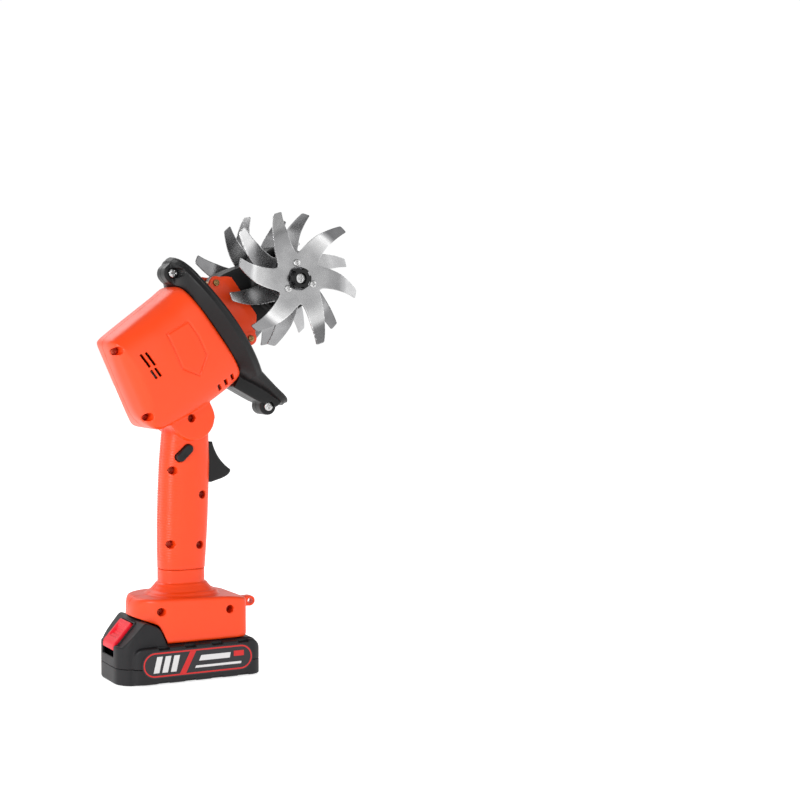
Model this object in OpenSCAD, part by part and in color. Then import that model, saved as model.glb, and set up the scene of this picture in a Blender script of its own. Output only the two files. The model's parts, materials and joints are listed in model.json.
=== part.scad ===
// Cordless hand cultivator: a pistol-grip tool whose tilted head turns four steel star discs.
// Millimetres. Origin on the rest face under the middle of the battery, +X forwards to the tines,
// +Z up, the two moulded halves of every shell meet on the plane Y = 0.
// Head coordinates (hx, hz) start at the tine shaft: hx forwards along the head, hz across it, upwards.

/* [Head] */
// Tine shaft, forwards from the origin
shaft_x = 86; // [84:1:88]
// Tine shaft, height above the rest face
shaft_z = 315; // [313:1:317]
// Upward tilt of the head
head_tilt = 36; // [35:0.5:37]
// Full height of the drum where it meets the guard
drum_h = 91.5; // [88:0.5:93]
// Full width of the drum where it meets the guard
drum_w = 68; // [64:1:70]
// Wall of the orange shells
wall = 2.6; // [2:0.1:3]

/* [Guard] */
// Full width of the guard at its widest
guard_w = 90; // [84:1:92]
// Thickness of the guard rim
guard_rim = 6; // [4:0.5:7]

/* [Tines] */
// Radius over the tine tips
tine_r = 55; // [50:1:56]
// Tines on each disc
tine_count = 6; // [5:1:7]
// Sheet thickness of a disc
disc_t = 1.6; // [1.2:0.1:2]
// Distance of the two inner discs from the middle plane
disc_in_y = 22; // [21.6:0.2:22.6]
// Distance of the two outer discs from the middle plane
disc_out_y = 43.2; // [42:0.2:45]
// Circle of the disc screws
disc_pcd = 25; // [24:0.5:26]

/* [Grip] */
// Grip depth, front to back, at its fullest
grip_d = 39.6; // [37:0.2:41]
// Grip width across the halves
grip_w = 33; // [31:0.5:34]
// Height of the seam between grip and foot
seam_z = 85; // [84:0.5:86]

/* [Battery] */
// Back end of the battery
batt_back = -59.5; // [-60:0.5:-59]
// Front end of the battery
batt_front = 57.5; // [57:0.5:58]
// Width over the side bulges
batt_w = 72; // [70:1:74]
// Height of the cell block
batt_h = 30; // [29.6:0.2:30]
// Width of the foot
foot_w = 62; // [61:1:63]

/* [Travel] */
// Trigger travel, which sets the depth of the switch's plunger hole
trigger_travel = 6; // [5:0.5:6]

/* [Hidden] */

orange = [0.93, 0.27, 0.12];
black = [0.09, 0.09, 0.1];
steel = [0.72, 0.72, 0.73];
zinc = [0.8, 0.7, 0.4];
copper = [0.75, 0.42, 0.22];

$fn = 48;
eps = 0.02;          // clearance between a shaft and what is fixed on it
run = 0.05;          // radial running clearance
big = 400;           // larger than the whole tool

// Head
drum_front = -77;    // hx of the drum's front edge, where the guard starts
drum_mid = 4.75;     // hz of the drum's middle at its front edge
nose_w = 31;         // width of the nose through the guard
nose_lug_hi = [-50, 32];
nose_lug_lo = [-52, -21];
knuckle = [5.5, 205];
knuckle_r = 17.5;
knuckle_w = 43;
head_h = 2;          // height of a housing screw's head
lead_r = 0.9;        // radius of each lead with its insulation
lead_gap = 9;        // width of the notch for both leads
screw_seats = [      // x, z and depth of the head seat of each housing screw
    [-56.4, 258, 14], [-32.9, 207, 14], [3.5, 205, 16],
    [-9.2, 163.8, 8.5], [14.6, 144, 10], [-11.2, 105.6, 8.5], [12.2, 104.1, 10]
];

// Guard
rim_back = -69;
guard_lug_hi = [-73, 57.5];
guard_lug_lo = [-70, -76];
lug_r = 7;

// Gear case and shaft
case_r = 27;
case_w = 30;
shaft_r = 5;
shaft_half = 44.8;   // half the length of the tine shaft
crown_teeth = 32;
crown_face = -5.4;   // Y of the crown gear's tooth roots
pinion_teeth = 8;

// Planetary stage
sun_teeth = 12;
planet_teeth = 18;
ring_teeth = 48;
planet_orbit = 9;
planet_hx = [-93, -85];

// Motor
motor_r = 18;
motor_hx = [-150, -99];

// Battery
bulge_x = [-49.5, 57];
slope_angle = 48.6;
rail_z = 35;

// Foot
foot_front = 48;
eye = [60, 54.2];    // lanyard eye
eye_r = 2.2;
foot_seat = 23;      // depth of the foot screws' heads from the middle plane
foot_screw_at = [[-24.8, 55.5], [31.2, 53.7]];

// ---------- helpers ----------
function arc(cx, cy, r, a0, a1, n = 8) =
    [for (i = [0:n]) let (a = a0 + (a1 - a0) * i / n) [cx + r * cos(a), cy + r * sin(a)]];
function bow(p, q, s, n = 8) =     // quadratic curve from p to s, pulled towards q
    [for (i = [0:n]) let (t = i / n) (1 - t) * (1 - t) * p + 2 * t * (1 - t) * q + t * t * s];
function gear_outline(n, r_root, r_tip, root_part, tip_part) =
    [for (i = [0:n - 1], k = [0:3])
        let (half = 180 / n * [-root_part, -tip_part, tip_part, root_part][k],
             r = [r_root, r_tip, r_tip, r_root][k],
             a = i * 360 / n + half)
        [r * cos(a), r * sin(a)]];
function unit(v) = v / norm(v);
// Unit bisector and half angle at corner i of a convex outline
function corner_to(p, i) =
    let (n = len(p), b = p[i], u = unit(p[(i + n - 1) % n] - b), v = unit(p[(i + 1) % n] - b))
    [u, v, unit(u + v), acos(u * v) / 2];
// Convex outline moved inwards by d
function shrink(p, d) = [for (i = [0:len(p) - 1]) let (c = corner_to(p, i)) p[i] + c[2] * d / sin(c[3])];
// Convex outline with its corners rounded to the radii r
function fillet(p, r, n = 6) = [for (i = [0:len(p) - 1])
    let (c = corner_to(p, i), mid = p[i] + c[2] * r[i] / sin(c[3]),
         from = p[i] + c[0] * r[i] / tan(c[3]) - mid, to = p[i] + c[1] * r[i] / tan(c[3]) - mid,
         a = atan2(from[1], from[0]), turn = atan2(to[1], to[0]) - a,
         sweep = turn > 180 ? turn - 360 : (turn < -180 ? turn + 360 : turn))
    for (k = [0:(r[i] > 0 ? n : 0)]) let (b = a + sweep * k / n)
        r[i] > 0 ? mid + r[i] * [cos(b), sin(b)] : p[i]];
function oval(a, b, n = 40, power = 1) = [for (i = [0:n - 1]) let (t = 360 * (i + 0.5) / n)
    [a * sign(cos(t)) * pow(abs(cos(t)), power), b * sign(sin(t)) * pow(abs(sin(t)), power)]];

module at_head() translate([shaft_x, 0, shaft_z]) rotate([0, -head_tilt, 0]) children();
// Profile in the XZ plane, extruded along Y between two values
module along_y(y0, y1) translate([0, y1, 0]) rotate([90, 0, 0]) linear_extrude(height = y1 - y0) children();
// Profile in the YZ plane, extruded along X between two values
module along_x(x0, x1) translate([x0, 0, 0]) rotate([90, 0, 90]) linear_extrude(height = x1 - x0) children();
module rod_y(x, z, r, y0, y1) translate([x, y1, z]) rotate([90, 0, 0]) cylinder(r = r, h = y1 - y0);
module rod_x(r, x0, x1, y = 0, z = 0) translate([x0, y, z]) rotate([0, 90, 0]) cylinder(r = r, h = x1 - x0);
module ring_x(r_out, r_in, x0, x1) difference() {
    rod_x(r_out, x0, x1);
    rod_x(r_in, x0 - 1, x1 + 1);
}
module ring_y(r_out, r_in, y0, y1) difference() {
    rod_y(0, 0, r_out, y0, y1);
    rod_y(0, 0, r_in, y0 - 1, y1 + 1);
}
module right_side() intersection() {
    children();
    translate([-big, -big, -big]) cube([2 * big, big, 2 * big]);
}
module left_side() intersection() {
    children();
    translate([-big, 0, -big]) cube([2 * big, big, 2 * big]);
}
module round_rect(x0, x1, y0, y1, r) {
    translate([x0 + r, y0]) square([x1 - x0 - 2 * r, y1 - y0]);
    translate([x0, y0 + r]) square([x1 - x0, y1 - y0 - 2 * r]);
    for (x = [x0 + r, x1 - r], y = [y0 + r, y1 - r]) translate([x, y]) circle(r);
}
// Cross-head screw along Y with its head towards -Y
module screw_y(x, z, y0, y1, head_r = 2.9, head_h = head_h, shank_r = 1.5) difference() {
    union() {
        rod_y(x, z, head_r, y0, y0 + head_h);
        rod_y(x, z, shank_r, y0 + head_h, y1);
    }
    for (a = [45, 135]) translate([x, y0, z]) rotate([0, a, 0])
        cube([0.9, 2.2, head_r * 1.2], center = true);
}
module screw_hole_y(x, z, y0, y1, r = 1.55) rod_y(x, z, r, y0, y1);
// Closed solid skinned over a list of rings that all have the same number of points
module skin(rings) {
    n = len(rings);
    m = len(rings[0]);
    polyhedron(
        points = [for (ring = rings, p = ring) p],
        faces = concat(
            [[for (k = [0:m - 1]) k]],
            [for (i = [0:n - 2], k = [0:m - 1])
                [i * m + k, (i + 1) * m + k, (i + 1) * m + (k + 1) % m, i * m + (k + 1) % m]],
            [[for (k = [m - 1:-1:0]) (n - 1) * m + k]]));
}
// Coil spring along +Z
module coil(r, wire, height, turns, sides = 6, steps = 10) skin([for (i = [0:turns * steps])
    let (a = 360 * i / steps, rise = (height - wire) * i / (turns * steps))
    [for (k = [0:sides - 1]) let (b = 360 * k / sides)
        [(r + wire / 2 * cos(b)) * cos(a), (r + wire / 2 * cos(b)) * sin(a),
         wire / 2 + rise + wire / 2 * sin(b)]]]);
// Wire of radius r along points in an XZ plane, at a constant Y
module wire_xz(points, y, r, sides = 8) {
    last = len(points) - 1;
    skin([for (i = [0:last])
        let (d = unit(points[min(last, i + 1)] - points[max(0, i - 1)]))
        [for (k = [0:sides - 1]) let (b = 360 * k / sides)
            [points[i][0] + r * cos(b) * d[1], y + r * sin(b), points[i][1] - r * cos(b) * d[0]]]]);
}

// ---------- housing ----------
// Drum: an egg-shaped front edge, crowned sides and a smaller, slanted back
drum_side = [[drum_front, drum_mid + drum_h / 2], [-150, 47.5], [-159.2, 19], [-165.5, -18], [-160, -32],
             [-104, -43.5], [drum_front, drum_mid - drum_h / 2]];
drum_plan = [[drum_front, drum_w / 2], [-118, drum_w / 2 + 0.4], [-172, drum_w / 2 - 8],
             [-172, 8 - drum_w / 2], [-118, -drum_w / 2 - 0.4], [drum_front, -drum_w / 2]];
// Back: a narrow upright strip with a slanted face on each side, all leaning with the drum's back line
drum_back = [[-0.5, 9], [-0.5, -9], [4.4, -24.5], [40, -60], [170, -60], [170, 60], [40, 60], [4.4, 24.5]];
module drum_form(d = 0) at_head() intersection() {
    along_y(-50, 50) polygon(fillet(shrink(drum_side, d), [0, 11 - d, 30, 13 - d, 9 - d, 25, 0]));
    translate([0, 0, -60]) linear_extrude(height = 120)
        polygon(fillet(shrink(drum_plan, d), [0, 60, 0, 0, 60, 0]));
    translate([-158.6, 0, 12]) rotate([0, 12.5, 0]) translate([0, 0, -80]) linear_extrude(height = 160)
        polygon(fillet(shrink(drum_back, d), [3, 3, 5, 0, 0, 0, 0, 5]));
    along_x(-180, 0) translate([0, drum_mid])
        polygon(oval(drum_w / 2 + 0.5 - d, drum_h / 2 + 1.5 - d, 48, 0.76));
}
// Grip: an oval barrel that leans a little forwards; each row is height, middle X, depth and width
grip_rows = [[seam_z, 1.9, 36.8, 31.4], [100, 2.3, 38.2, 32.4], [120, 3, 39.4, grip_w],
             [145, 3.9, grip_d, grip_w], [170, 4.9, 39, grip_w], [200, 6, 34.5, grip_w]];
module grip_form(d = 0) skin([for (row = grip_rows)
    [for (p = oval(row[2] / 2 - d, row[3] / 2 - d, 32, 0.9)) [row[1] + p[0], p[1], row[0]]]]);
module knuckle_form(inset = 0) along_y(inset - knuckle_w / 2, knuckle_w / 2 - inset) {
    translate(knuckle) circle(knuckle_r - inset);
    polygon(shrink([[-7.8, 193.6], [23, 205], [16, 226], [-16, 222], [-21.5, 208.5]], inset));
}
module nose_outline() {
    polygon([[-79, 30], [-62, 33], nose_lug_hi + [-2, 5.2], nose_lug_hi + [4, 3], [-35, 28.6],
             [-35, -9.4], [-45, -19.4], nose_lug_lo + [4, -3.5], nose_lug_lo + [-2, -5], [-79, -27]]);
    translate(nose_lug_hi) circle(5.5);
    translate(nose_lug_lo) circle(5.5);
}
module nose_form() at_head() along_y(-nose_w / 2, nose_w / 2) nose_outline();
module nose_hollow() at_head() {
    translate([-90, -13.2, -20.3]) cube([60, 26.4, 46.6]);
    translate([-58.5, -13.2, 20]) cube([30, 26.4, 25]);      // open top, filled by the gear case
}
module trigger_slot() translate([12, -7.5, 151]) cube([30, 15, 36]);
module lock_outline(grow = 0) translate([-0.8, 177.5]) rotate(45) {
    square([9 + 2 * grow, 7 + 2 * grow], center = true);
    for (s = [-1, 1]) translate([s * 4.5, 0]) circle(3.5 + grow);
}
module vent_cutters() at_head() {
    for (v = [[-138, 20.5, 12], [-133.9, 19.3, 12], [-138.8, 8.1, 8], [-135.2, 7.6, 8]])
        for (y = [-40, 20]) translate([v[0] - 1, y, v[1] - v[2] / 2]) cube([2, 20, v[2]]);
    for (i = [0:2]) for (y = [-40, 20]) translate([-101 + 6.8 * i, y, -36]) cube([2.4, 20, 5]);
}
// Thin outline of the blank badge on the drum's sides, cut as a groove
module badge_groove() at_head() for (y = [-38, 33.1]) along_y(y, y + 4.9) difference() {
    polygon([[-92.2, 24.7], [-111.8, 26.6], [-117.6, -2], [-109.3, -14.4], [-95.3, -5.3], [-92.2, 11.6]]);
    polygon([[-93, 23.8], [-111.1, 25.6], [-116.7, -1.9], [-109.1, -13.2], [-96, -4.8], [-93, 11.7]]);
}
module housing_bosses() for (s = screw_seats) rod_y(s[0], s[1], 4.6, -60, 60);
module screw_cuts() for (s = screw_seats) {
    rod_y(s[0], s[1], 3.2, -60, head_h - s[2]);
    screw_hole_y(s[0], s[1], -s[2], s[2] - 2);
}
// Two ribs round the motor, each notched below it for the leads
module motor_cradle() at_head() for (x = [-142, -108]) difference() {
    translate([x, -60, -60]) cube([3, 120, 120]);
    rod_x(motor_r + run, x - 1, x + 4);
    translate([x - 1, -lead_gap / 2, -60]) cube([5, lead_gap, 60 - motor_r / 2]);
}
module housing() difference() {
    union() {
        difference() {
            union() { drum_form(); knuckle_form(); grip_form(); nose_form(); }
            drum_form(wall);
            knuckle_form(wall);
            translate([0, 0, -0.2]) grip_form(wall);
            nose_hollow();
            badge_groove();
        }
        intersection() {
            housing_bosses();
            union() { drum_form(1); knuckle_form(1); grip_form(1); }
        }
        intersection() { motor_cradle(); drum_form(1); }
    }
    screw_cuts();
    trigger_slot();
    along_y(-60, 60) lock_outline(0.25);
    vent_cutters();
    at_head() {
        for (p = [nose_lug_hi, nose_lug_lo]) rod_y(p[0], p[1], 1.55, -20, 14);
        rod_x(motor_r + 0.3, -100, -79.6);
    }
}
module housing_right() color(orange) right_side() housing();
module housing_left() color(orange) left_side() housing();
module housing_screws() color(steel) for (s = screw_seats) screw_y(s[0], s[1], -s[2], s[2] - 3);

// ---------- foot ----------
module foot_profile() polygon(concat(
    [[-41, 50.2], [-42.4, 52]], arc(-36.4, 58.8, 6, 180, 110, 5), [[-26, 65.6], [38, 63.6]],
    arc(foot_front - 7, 55.5, 7, 80, 0, 6),
    [[foot_front, batt_h + 0.3], [-20, batt_h + 0.3], [-26, 43.8], [-29.5, 46.6]]));
// Straight sides, a half-oval back and rounded front corners
module foot_plan() {
    round_rect(-14, foot_front, -foot_w / 2, foot_w / 2, 10);
    translate([-14, -foot_w / 2]) square([30, foot_w]);
    translate([-14, 0]) scale([28.5, foot_w / 2]) circle(1);
}
module foot_outer() {
    intersection() {
        along_y(-foot_w / 2, foot_w / 2) foot_profile();
        translate([0, 0, 20]) linear_extrude(height = 60) foot_plan();
    }
    hull() {
        translate([2.6, 0, 62]) scale([27.5, 24, 1]) cylinder(r = 1, h = 5, $fn = 40);
        translate([1.8, 0, 70]) scale([20.5, 18, 1]) cylinder(r = 1, h = 4, $fn = 40);
    }
    translate([1.7, 0, 66]) scale_oval(36.2, 31, seam_z - 0.2 - 66);
    difference() {      // lanyard lug
        union() {
            translate([foot_front - 5, -4, eye[1] - 4.2]) cube([eye[0] - foot_front + 5, 8, 8.4]);
            rod_y(eye[0], eye[1], 4.2, -4, 4);
        }
        rod_y(eye[0], eye[1], eye_r, -10, 10);
    }
}
module scale_oval(dx, dy, h) hull()
    for (y = [-1, 1]) translate([0, y, 0]) scale([dx / 2, dy / 2 - 1, 1]) cylinder(r = 1, h = h, $fn = 32);
module foot_inner() {
    // room for the battery's slide and the terminal block
    translate([-60, -28, batt_h - 1]) cube([foot_front + 57, 56, rail_z + 4.3 - batt_h]);
    translate([-24, -24, 38]) cube([foot_front + 20, 48, 22]);
    translate([1.7, 0, 56]) scale_oval(31, 26, 40);
}
module foot_rails() for (s = [-1, 1])
    translate([-17, s > 0 ? 25 : -29.5, batt_h + 0.3]) cube([54, 4.5, rail_z - batt_h - 1]);
module foot() difference() {
    union() {
        difference() { foot_outer(); foot_inner(); }
        foot_rails();
        intersection() {
            foot_outer();
            for (s = foot_screw_at) rod_y(s[0], s[1], 4.4, -60, 60);
        }
        difference() {          // spigot into the grip
            translate([1.9, 0, 70]) scale_oval(30.6, 25.4, 24);
            translate([1.9, 0, 69]) scale_oval(27, 22, 40);
        }
    }
    for (s = foot_screw_at) {
        rod_y(s[0], s[1], 3.2, -60, head_h - foot_seat);
        screw_hole_y(s[0], s[1], -foot_seat, foot_seat - 2);
    }
}
module foot_right() color(orange) right_side() foot();
module foot_left() color(orange) left_side() foot();
module foot_screws() color(steel) for (s = foot_screw_at)
    screw_y(s[0], s[1], -foot_seat, foot_seat - 3);

// ---------- guard ----------
// Outline seen along the head: y across, hz up; the widest place is near the middle
module guard_outline(inset = 0) {
    half = guard_w / 2 - inset;
    side = concat(
        bow([0, 67 - inset], [24 - inset / 2, 66 - inset], [32 - inset, 48]),
        bow([32 - inset, 48], [half, 28], [half, 2]),
        bow([half, 2], [half - 1, -24], [27 - inset, -46], 8));
    polygon(concat(side, [for (i = [len(side) - 1:-1:1]) [-side[i][0], side[i][1]]]));
}
module tongue_outline(inset = 0) polygon(concat(
    [[-27 + inset, -44], [27 - inset, -44]],
    bow([27 - inset, -46], [20, -62], [17 - inset, -76], 6),
    bow([17 - inset, -76], [15 - inset, -84 + inset], [0, -84.5 + inset], 5),
    bow([0, -84.5 + inset], [-15 + inset, -84 + inset], [-17 + inset, -76], 5),
    bow([-17 + inset, -76], [-20, -62], [-27 + inset, -46], 6)));
module at_tongue() translate([rim_back + guard_rim, 0, -45]) rotate([0, 15.5, 0])
    translate([-rim_back - guard_rim, 0, 45])
    children();
module guard() difference() {
    union() {
        difference() {
            at_head() hull() {
                along_x(rim_back, rim_back + guard_rim) guard_outline();
                translate([drum_front, 0, drum_mid]) rotate([0, 90, 0])
                    scale([drum_h / 2 + 0.8, drum_w / 2 + 0.8, 1]) cylinder(r = 1, h = 0.5, $fn = 48);
            }
            at_head() hull() {      // dished front
                along_x(rim_back + 2, rim_back + guard_rim + 1) guard_outline(4);
                translate([drum_front + 3, 0, drum_mid]) rotate([0, 90, 0])
                    scale([drum_h / 2 - 3, drum_w / 2 - 3, 1]) cylinder(r = 1, h = 0.5, $fn = 48);
            }
        }
        at_head() at_tongue() along_x(rim_back, rim_back + guard_rim) tongue_outline();
        at_head() {
            rod_y(guard_lug_hi[0], guard_lug_hi[1], lug_r, -9, 9);
            rod_y(guard_lug_lo[0], guard_lug_lo[1], lug_r, -9, 9);
            along_y(-8, 8) polygon([[-66, 66], [-77, 63.5], [-80, 55], [drum_front, 51], [-66, 51]]);
            along_y(-13, 13) polygon([[drum_front, -40], [drum_front - 9, -44.3], [-79, -60], [-74, -70],
                                      [-66, -80], [-60, -80], [-66, -42]]);
        }
    }
    at_head() {
        translate([-90, -nose_w / 2 - 0.3, -28.5]) cube([40, nose_w + 0.6, 63]);
        for (p = [guard_lug_hi, guard_lug_lo]) {
            rod_y(p[0], p[1], 1.8, -20, 7);
            rod_y(p[0], p[1], 4, -60, -8.9);
        }
    }
    at_head() translate([-120, -50, -43]) cube([120 + drum_front, 100, 90]);
}
module guard_right() color(black) right_side() guard();
module guard_left() color(black) left_side() guard();
module guard_screws() color(steel) at_head() {
    for (p = [guard_lug_hi, guard_lug_lo])
        screw_y(p[0], p[1], -11.2, 6.5, head_r = 3.6, head_h = 2.2, shank_r = 1.75);
}
module nose_screws() color(zinc) at_head()
    for (p = [nose_lug_hi, nose_lug_lo]) screw_y(p[0], p[1], -nose_w / 2 - 2, 13.5, head_r = 2.6);

// ---------- gear case and tine shaft ----------
module gear_case() at_head() difference() {
    union() {
        rod_y(0, 0, case_r, -case_w / 2, case_w / 2);
        along_y(-13, 13) polygon([[-58, -20], [-58, 26], [-52, 32], [-44, 34], [-28, 31], [-12, 25], [0, 0],
                                  [-12, -24], [-34, -20]]);
        rod_y(0, 0, 12, -17.2, 17.2);
    }
    rod_y(0, 0, 20.5, -9.8, 6);
    rod_y(0, 0, 9 + eps, -14.3, 11.3);
    rod_y(0, 0, 8, -18, 18);
    rod_x(8 + eps, -59, -52);
    rod_x(5, -53, -10);
    rod_x(8 + eps, -34, -28);
    translate([-30, -6, -6]) cube([16, 12, 12]);
    for (a = [-60, 0, 60]) rod_y(23.7 * cos(a), 23.7 * sin(a), 1.3, -20, 12);
    for (p = [nose_lug_hi, nose_lug_lo]) rod_y(p[0], p[1], 1.55, -20, 20);
}
module gear_case_right() color(black) right_side() gear_case();
module gear_case_left() color(black) left_side() gear_case();
module gear_case_screws() color(steel) at_head() for (a = [-60, 0, 60])
    screw_y(23.7 * cos(a), 23.7 * sin(a), -case_w / 2 - 1.6, 11, head_r = 2.4, head_h = 1.6, shank_r = 1.25);

module tine_shaft() color(steel) at_head() difference() {
    rod_y(0, 0, shaft_r, -shaft_half, shaft_half);
    for (y = [-46, 34]) rod_y(0, 0, 2, y, y + 12);
}
module crown_gear() color([0.5, 0.5, 0.52]) at_head() {
    difference() {
        union() {
            rod_y(0, 0, 19, -9.4, crown_face);
            rod_y(0, 0, 8, -9.6, -4.9);
        }
        rod_y(0, 0, shaft_r + eps, -20, 0);
    }
    for (i = [0:crown_teeth - 1]) rotate([0, i * 360 / crown_teeth, 0]) along_x(14.5, 18.2)
        polygon([[crown_face - 0.1, -0.55], [-3.3, -0.3], [-3.3, 0.3], [crown_face - 0.1, 0.55]]);
}
module shaft_bearing_right() color(steel) at_head() ring_y(9, shaft_r + run, -14.2, -10);
module shaft_bearing_left() color(steel) at_head() ring_y(9, shaft_r + run, 6.6, 11);
module shaft_seals() color([0.15, 0.15, 0.15]) at_head() {
    ring_y(7.95, shaft_r + 0.08, -17, -14.6);
    ring_y(7.95, shaft_r + 0.08, 14.6, 17);
}
// Disc hub: a tube with a flange for each of its two discs, drawn on the +Y side
module hub() difference() {
    union() {
        rod_y(0, 0, 9, disc_in_y - 1.6, disc_out_y - 0.8);
        rod_y(0, 0, 16, disc_in_y + 0.8, disc_in_y + 3.3);
        rod_y(0, 0, 16, disc_out_y - 3.3, disc_out_y - 0.8);
    }
    rod_y(0, 0, shaft_r + eps, 0, 60);
    for (a = disc_screw_angles) rod_y(disc_pcd / 2 * cos(a), disc_pcd / 2 * sin(a), 1.55, 0, 60);
}
disc_screw_angles = [100, 220, 340];
module hub_right() color([0.35, 0.35, 0.37]) shaft_frame() mirror([0, 1, 0]) hub();
module hub_left() color([0.35, 0.35, 0.37]) shaft_frame() hub();
// The tine discs use the world's own directions about the shaft
module shaft_frame() translate([shaft_x, 0, shaft_z]) children();

// Star disc on the +Y side: the root of each tine lies in the disc's plane, and its outer part is bent
// across a crease, by turns away from the tool's middle and towards it
crease_r = 0.68 * tine_r;
tine_sweep = 20;     // how far a tip trails its root, degrees
function tine_axis(r) = -tine_sweep * (r - 14) / (tine_r - 14);
root_half = 9.8;     // half widths of a tine at its root, its crease and its tip
crease_half = 6.8;
tip_half = 3.5;
function tine_half(r) = r < crease_r
    ? root_half + (crease_half - root_half) * (r - 14) / (crease_r - 14)
    : crease_half + (tip_half - crease_half) * (r - crease_r) / (tine_r - crease_r);
function tine_side(r, s) = let (a = tine_axis(r) + s * asin(min(0.99, tine_half(r) / r)))
    [r * cos(a), r * sin(a)];
module tine_piece(r0, r1, n = 5) polygon(concat(
    [for (i = [0:n]) tine_side(r0 + (r1 - r0) * i / n, -1)],
    [for (i = [n:-1:0]) tine_side(r0 + (r1 - r0) * i / n, 1)]));
module star_disc(y, first_angle, bends) shaft_frame() difference() {
    union() {
        along_y(y - disc_t / 2, y + disc_t / 2) {
            circle(19);
            for (i = [0:tine_count - 1]) rotate(first_angle + tine_sweep + i * 360 / tine_count)
                tine_piece(14, crease_r + 0.3);
        }
        for (i = [0:tine_count - 1])
            rotate([0, -(first_angle + tine_sweep + i * 360 / tine_count), 0]) translate([0, y, 0])
                rotate([0, -tine_axis(crease_r), 0]) translate([crease_r, 0, 0])
                rotate([0, 0, bends[i % 2]]) translate([-crease_r, 0, 0])
                rotate([0, tine_axis(crease_r), 0])
                along_y(-disc_t / 2, disc_t / 2) tine_piece(crease_r - 0.3, tine_r);
    }
    rod_y(0, 0, 9.1, y - 3, y + 3);
    for (a = disc_screw_angles) rod_y(disc_pcd / 2 * cos(a), disc_pcd / 2 * sin(a), 1.6, y - 3, y + 3);
}
module disc_right_outer() color(steel) star_disc(-disc_out_y, 47, [-18, 18]);
module disc_right_inner() color(steel) star_disc(-disc_in_y, 15, [8, -20]);
module disc_left_inner() color(steel) star_disc(disc_in_y, 10, [-8, 20]);
module disc_left_outer() color(steel) star_disc(disc_out_y, 40, [18, -18]);
// Outer discs are screwed on from outside, inner discs from the gear case side
module disc_screws() color(steel) shaft_frame() for (side = [-1, 1], a = disc_screw_angles) scale_y(side) {
    x = disc_pcd / 2 * cos(a);
    z = disc_pcd / 2 * sin(a);
    face = disc_t / 2 + 1.8;
    mirror([0, 1, 0]) screw_y(x, z, -disc_out_y - face, -disc_out_y + 3.2, head_r = 2.9, head_h = 1.8);
    screw_y(x, z, disc_in_y - face, disc_in_y + 2.8, head_r = 2.4, head_h = 1.8);
}
// Notched cap nut on each end of the shaft
module cap_nut(s) {
    y0 = disc_out_y + 0.8;
    shaft_frame() scale_y(s) difference() {
        along_y(y0, y0 + 5.2) difference() {
            circle(8.4, $fn = 24);
            for (i = [0:5]) rotate(30 + i * 60) translate([8.2, 0]) square([2.6, 3.4], center = true);
        }
        rod_y(0, 0, shaft_r + eps, y0 - 1, shaft_half + eps);
        rod_y(0, 0, 4.6, y0 + 1.8, y0 + 6);
        rod_y(0, 0, 2.1, y0, y0 + 6);
    }
}
module scale_y(s) if (s > 0) children(); else mirror([0, 1, 0]) children();
module hub_caps() color(black) { cap_nut(1); cap_nut(-1); }
module shaft_end_screws() color(steel) shaft_frame() for (s = [-1, 1]) scale_y(s) mirror([0, 1, 0])
    screw_y(0, 0, -disc_out_y - 4.2, -36, head_r = 4.2, head_h = 1.58, shank_r = 1.95);

// ---------- drive train ----------
module drive_shaft() color([0.55, 0.55, 0.58]) at_head() {
    rod_x(12.6, -84, -81);
    rod_x(4, -81, -24);
    rod_x(2.95, -24, -13.6);
    rotate([22.5, 0, 0]) along_x(-19.2, -13.6) polygon(gear_outline(pinion_teeth, 2.95, 4.7, 0.6, 0.24));
    for (i = [0:2]) rotate([i * 120, 0, 0]) rod_x(1.5, -93.5, -83.9, planet_orbit);
}
module pinion_bearings() color(steel) at_head() {
    ring_x(8, 4 + run, -58, -52.2);
    ring_x(8, 4 + run, -34, -28.1);
}
module planet_gear(i) color([0.62, 0.62, 0.64]) at_head() rotate([i * 120, 0, 0])
    translate([0, planet_orbit, 0])
    difference() {
        along_x(planet_hx[0], planet_hx[1]) rotate(10)
            polygon(gear_outline(planet_teeth, 4.65, 5.9, 0.62, 0.24));
        rod_x(1.5 + run, planet_hx[0] - 1, planet_hx[1] + 1);
    }
module planet_gear_1() planet_gear(0);
module planet_gear_2() planet_gear(1);
module planet_gear_3() planet_gear(2);
module ring_gear() color([0.5, 0.5, 0.52]) at_head() difference() {
    rod_x(motor_r, -96.5, -82);
    along_x(-95, -81) rotate(180 / ring_teeth)
        polygon(gear_outline(ring_teeth, 13.9, 15.15, 0.68, 0.38));
    rod_x(9, -100, -90);
}
module gearbox_plate() color([0.4, 0.4, 0.42]) at_head() ring_x(motor_r, 4.4, -80.6, -79.7);
module sun_gear() color([0.62, 0.62, 0.64]) at_head() difference() {
    along_x(-95, -85) polygon(gear_outline(sun_teeth, 2.85, 4.1, 0.6, 0.24));
    rod_x(2 + eps, -100, -80);
}
module motor_shaft() color(steel) at_head() rod_x(2, -156, -84.8);
module armature() color(copper) at_head() {
    difference() {
        along_x(-138, -110) {
            for (i = [0:4]) rotate(i * 72) {
                translate([5, -2.2]) square([8, 4.4]);
                intersection() {
                    difference() { circle(14.2); circle(11.6); }
                    polygon([[0, 0], [18, -9.5], [18, 9.5]]);
                }
            }
            circle(6.2);
        }
        rod_x(2 + eps, -140, -100);
    }
    for (i = [0:4]) rotate([i * 72, 0, 0]) translate([-141, 6.4, -3.6]) difference() {
        cube([34, 4.6, 7.2]);
        translate([2.9, -1, 1.2]) cube([28.2, 7, 4.8]);
    }
}
module commutator() color(copper) at_head() difference() {
    rod_x(5, -147.5, -142);
    rod_x(2 + eps, -150, -140);
}
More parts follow.
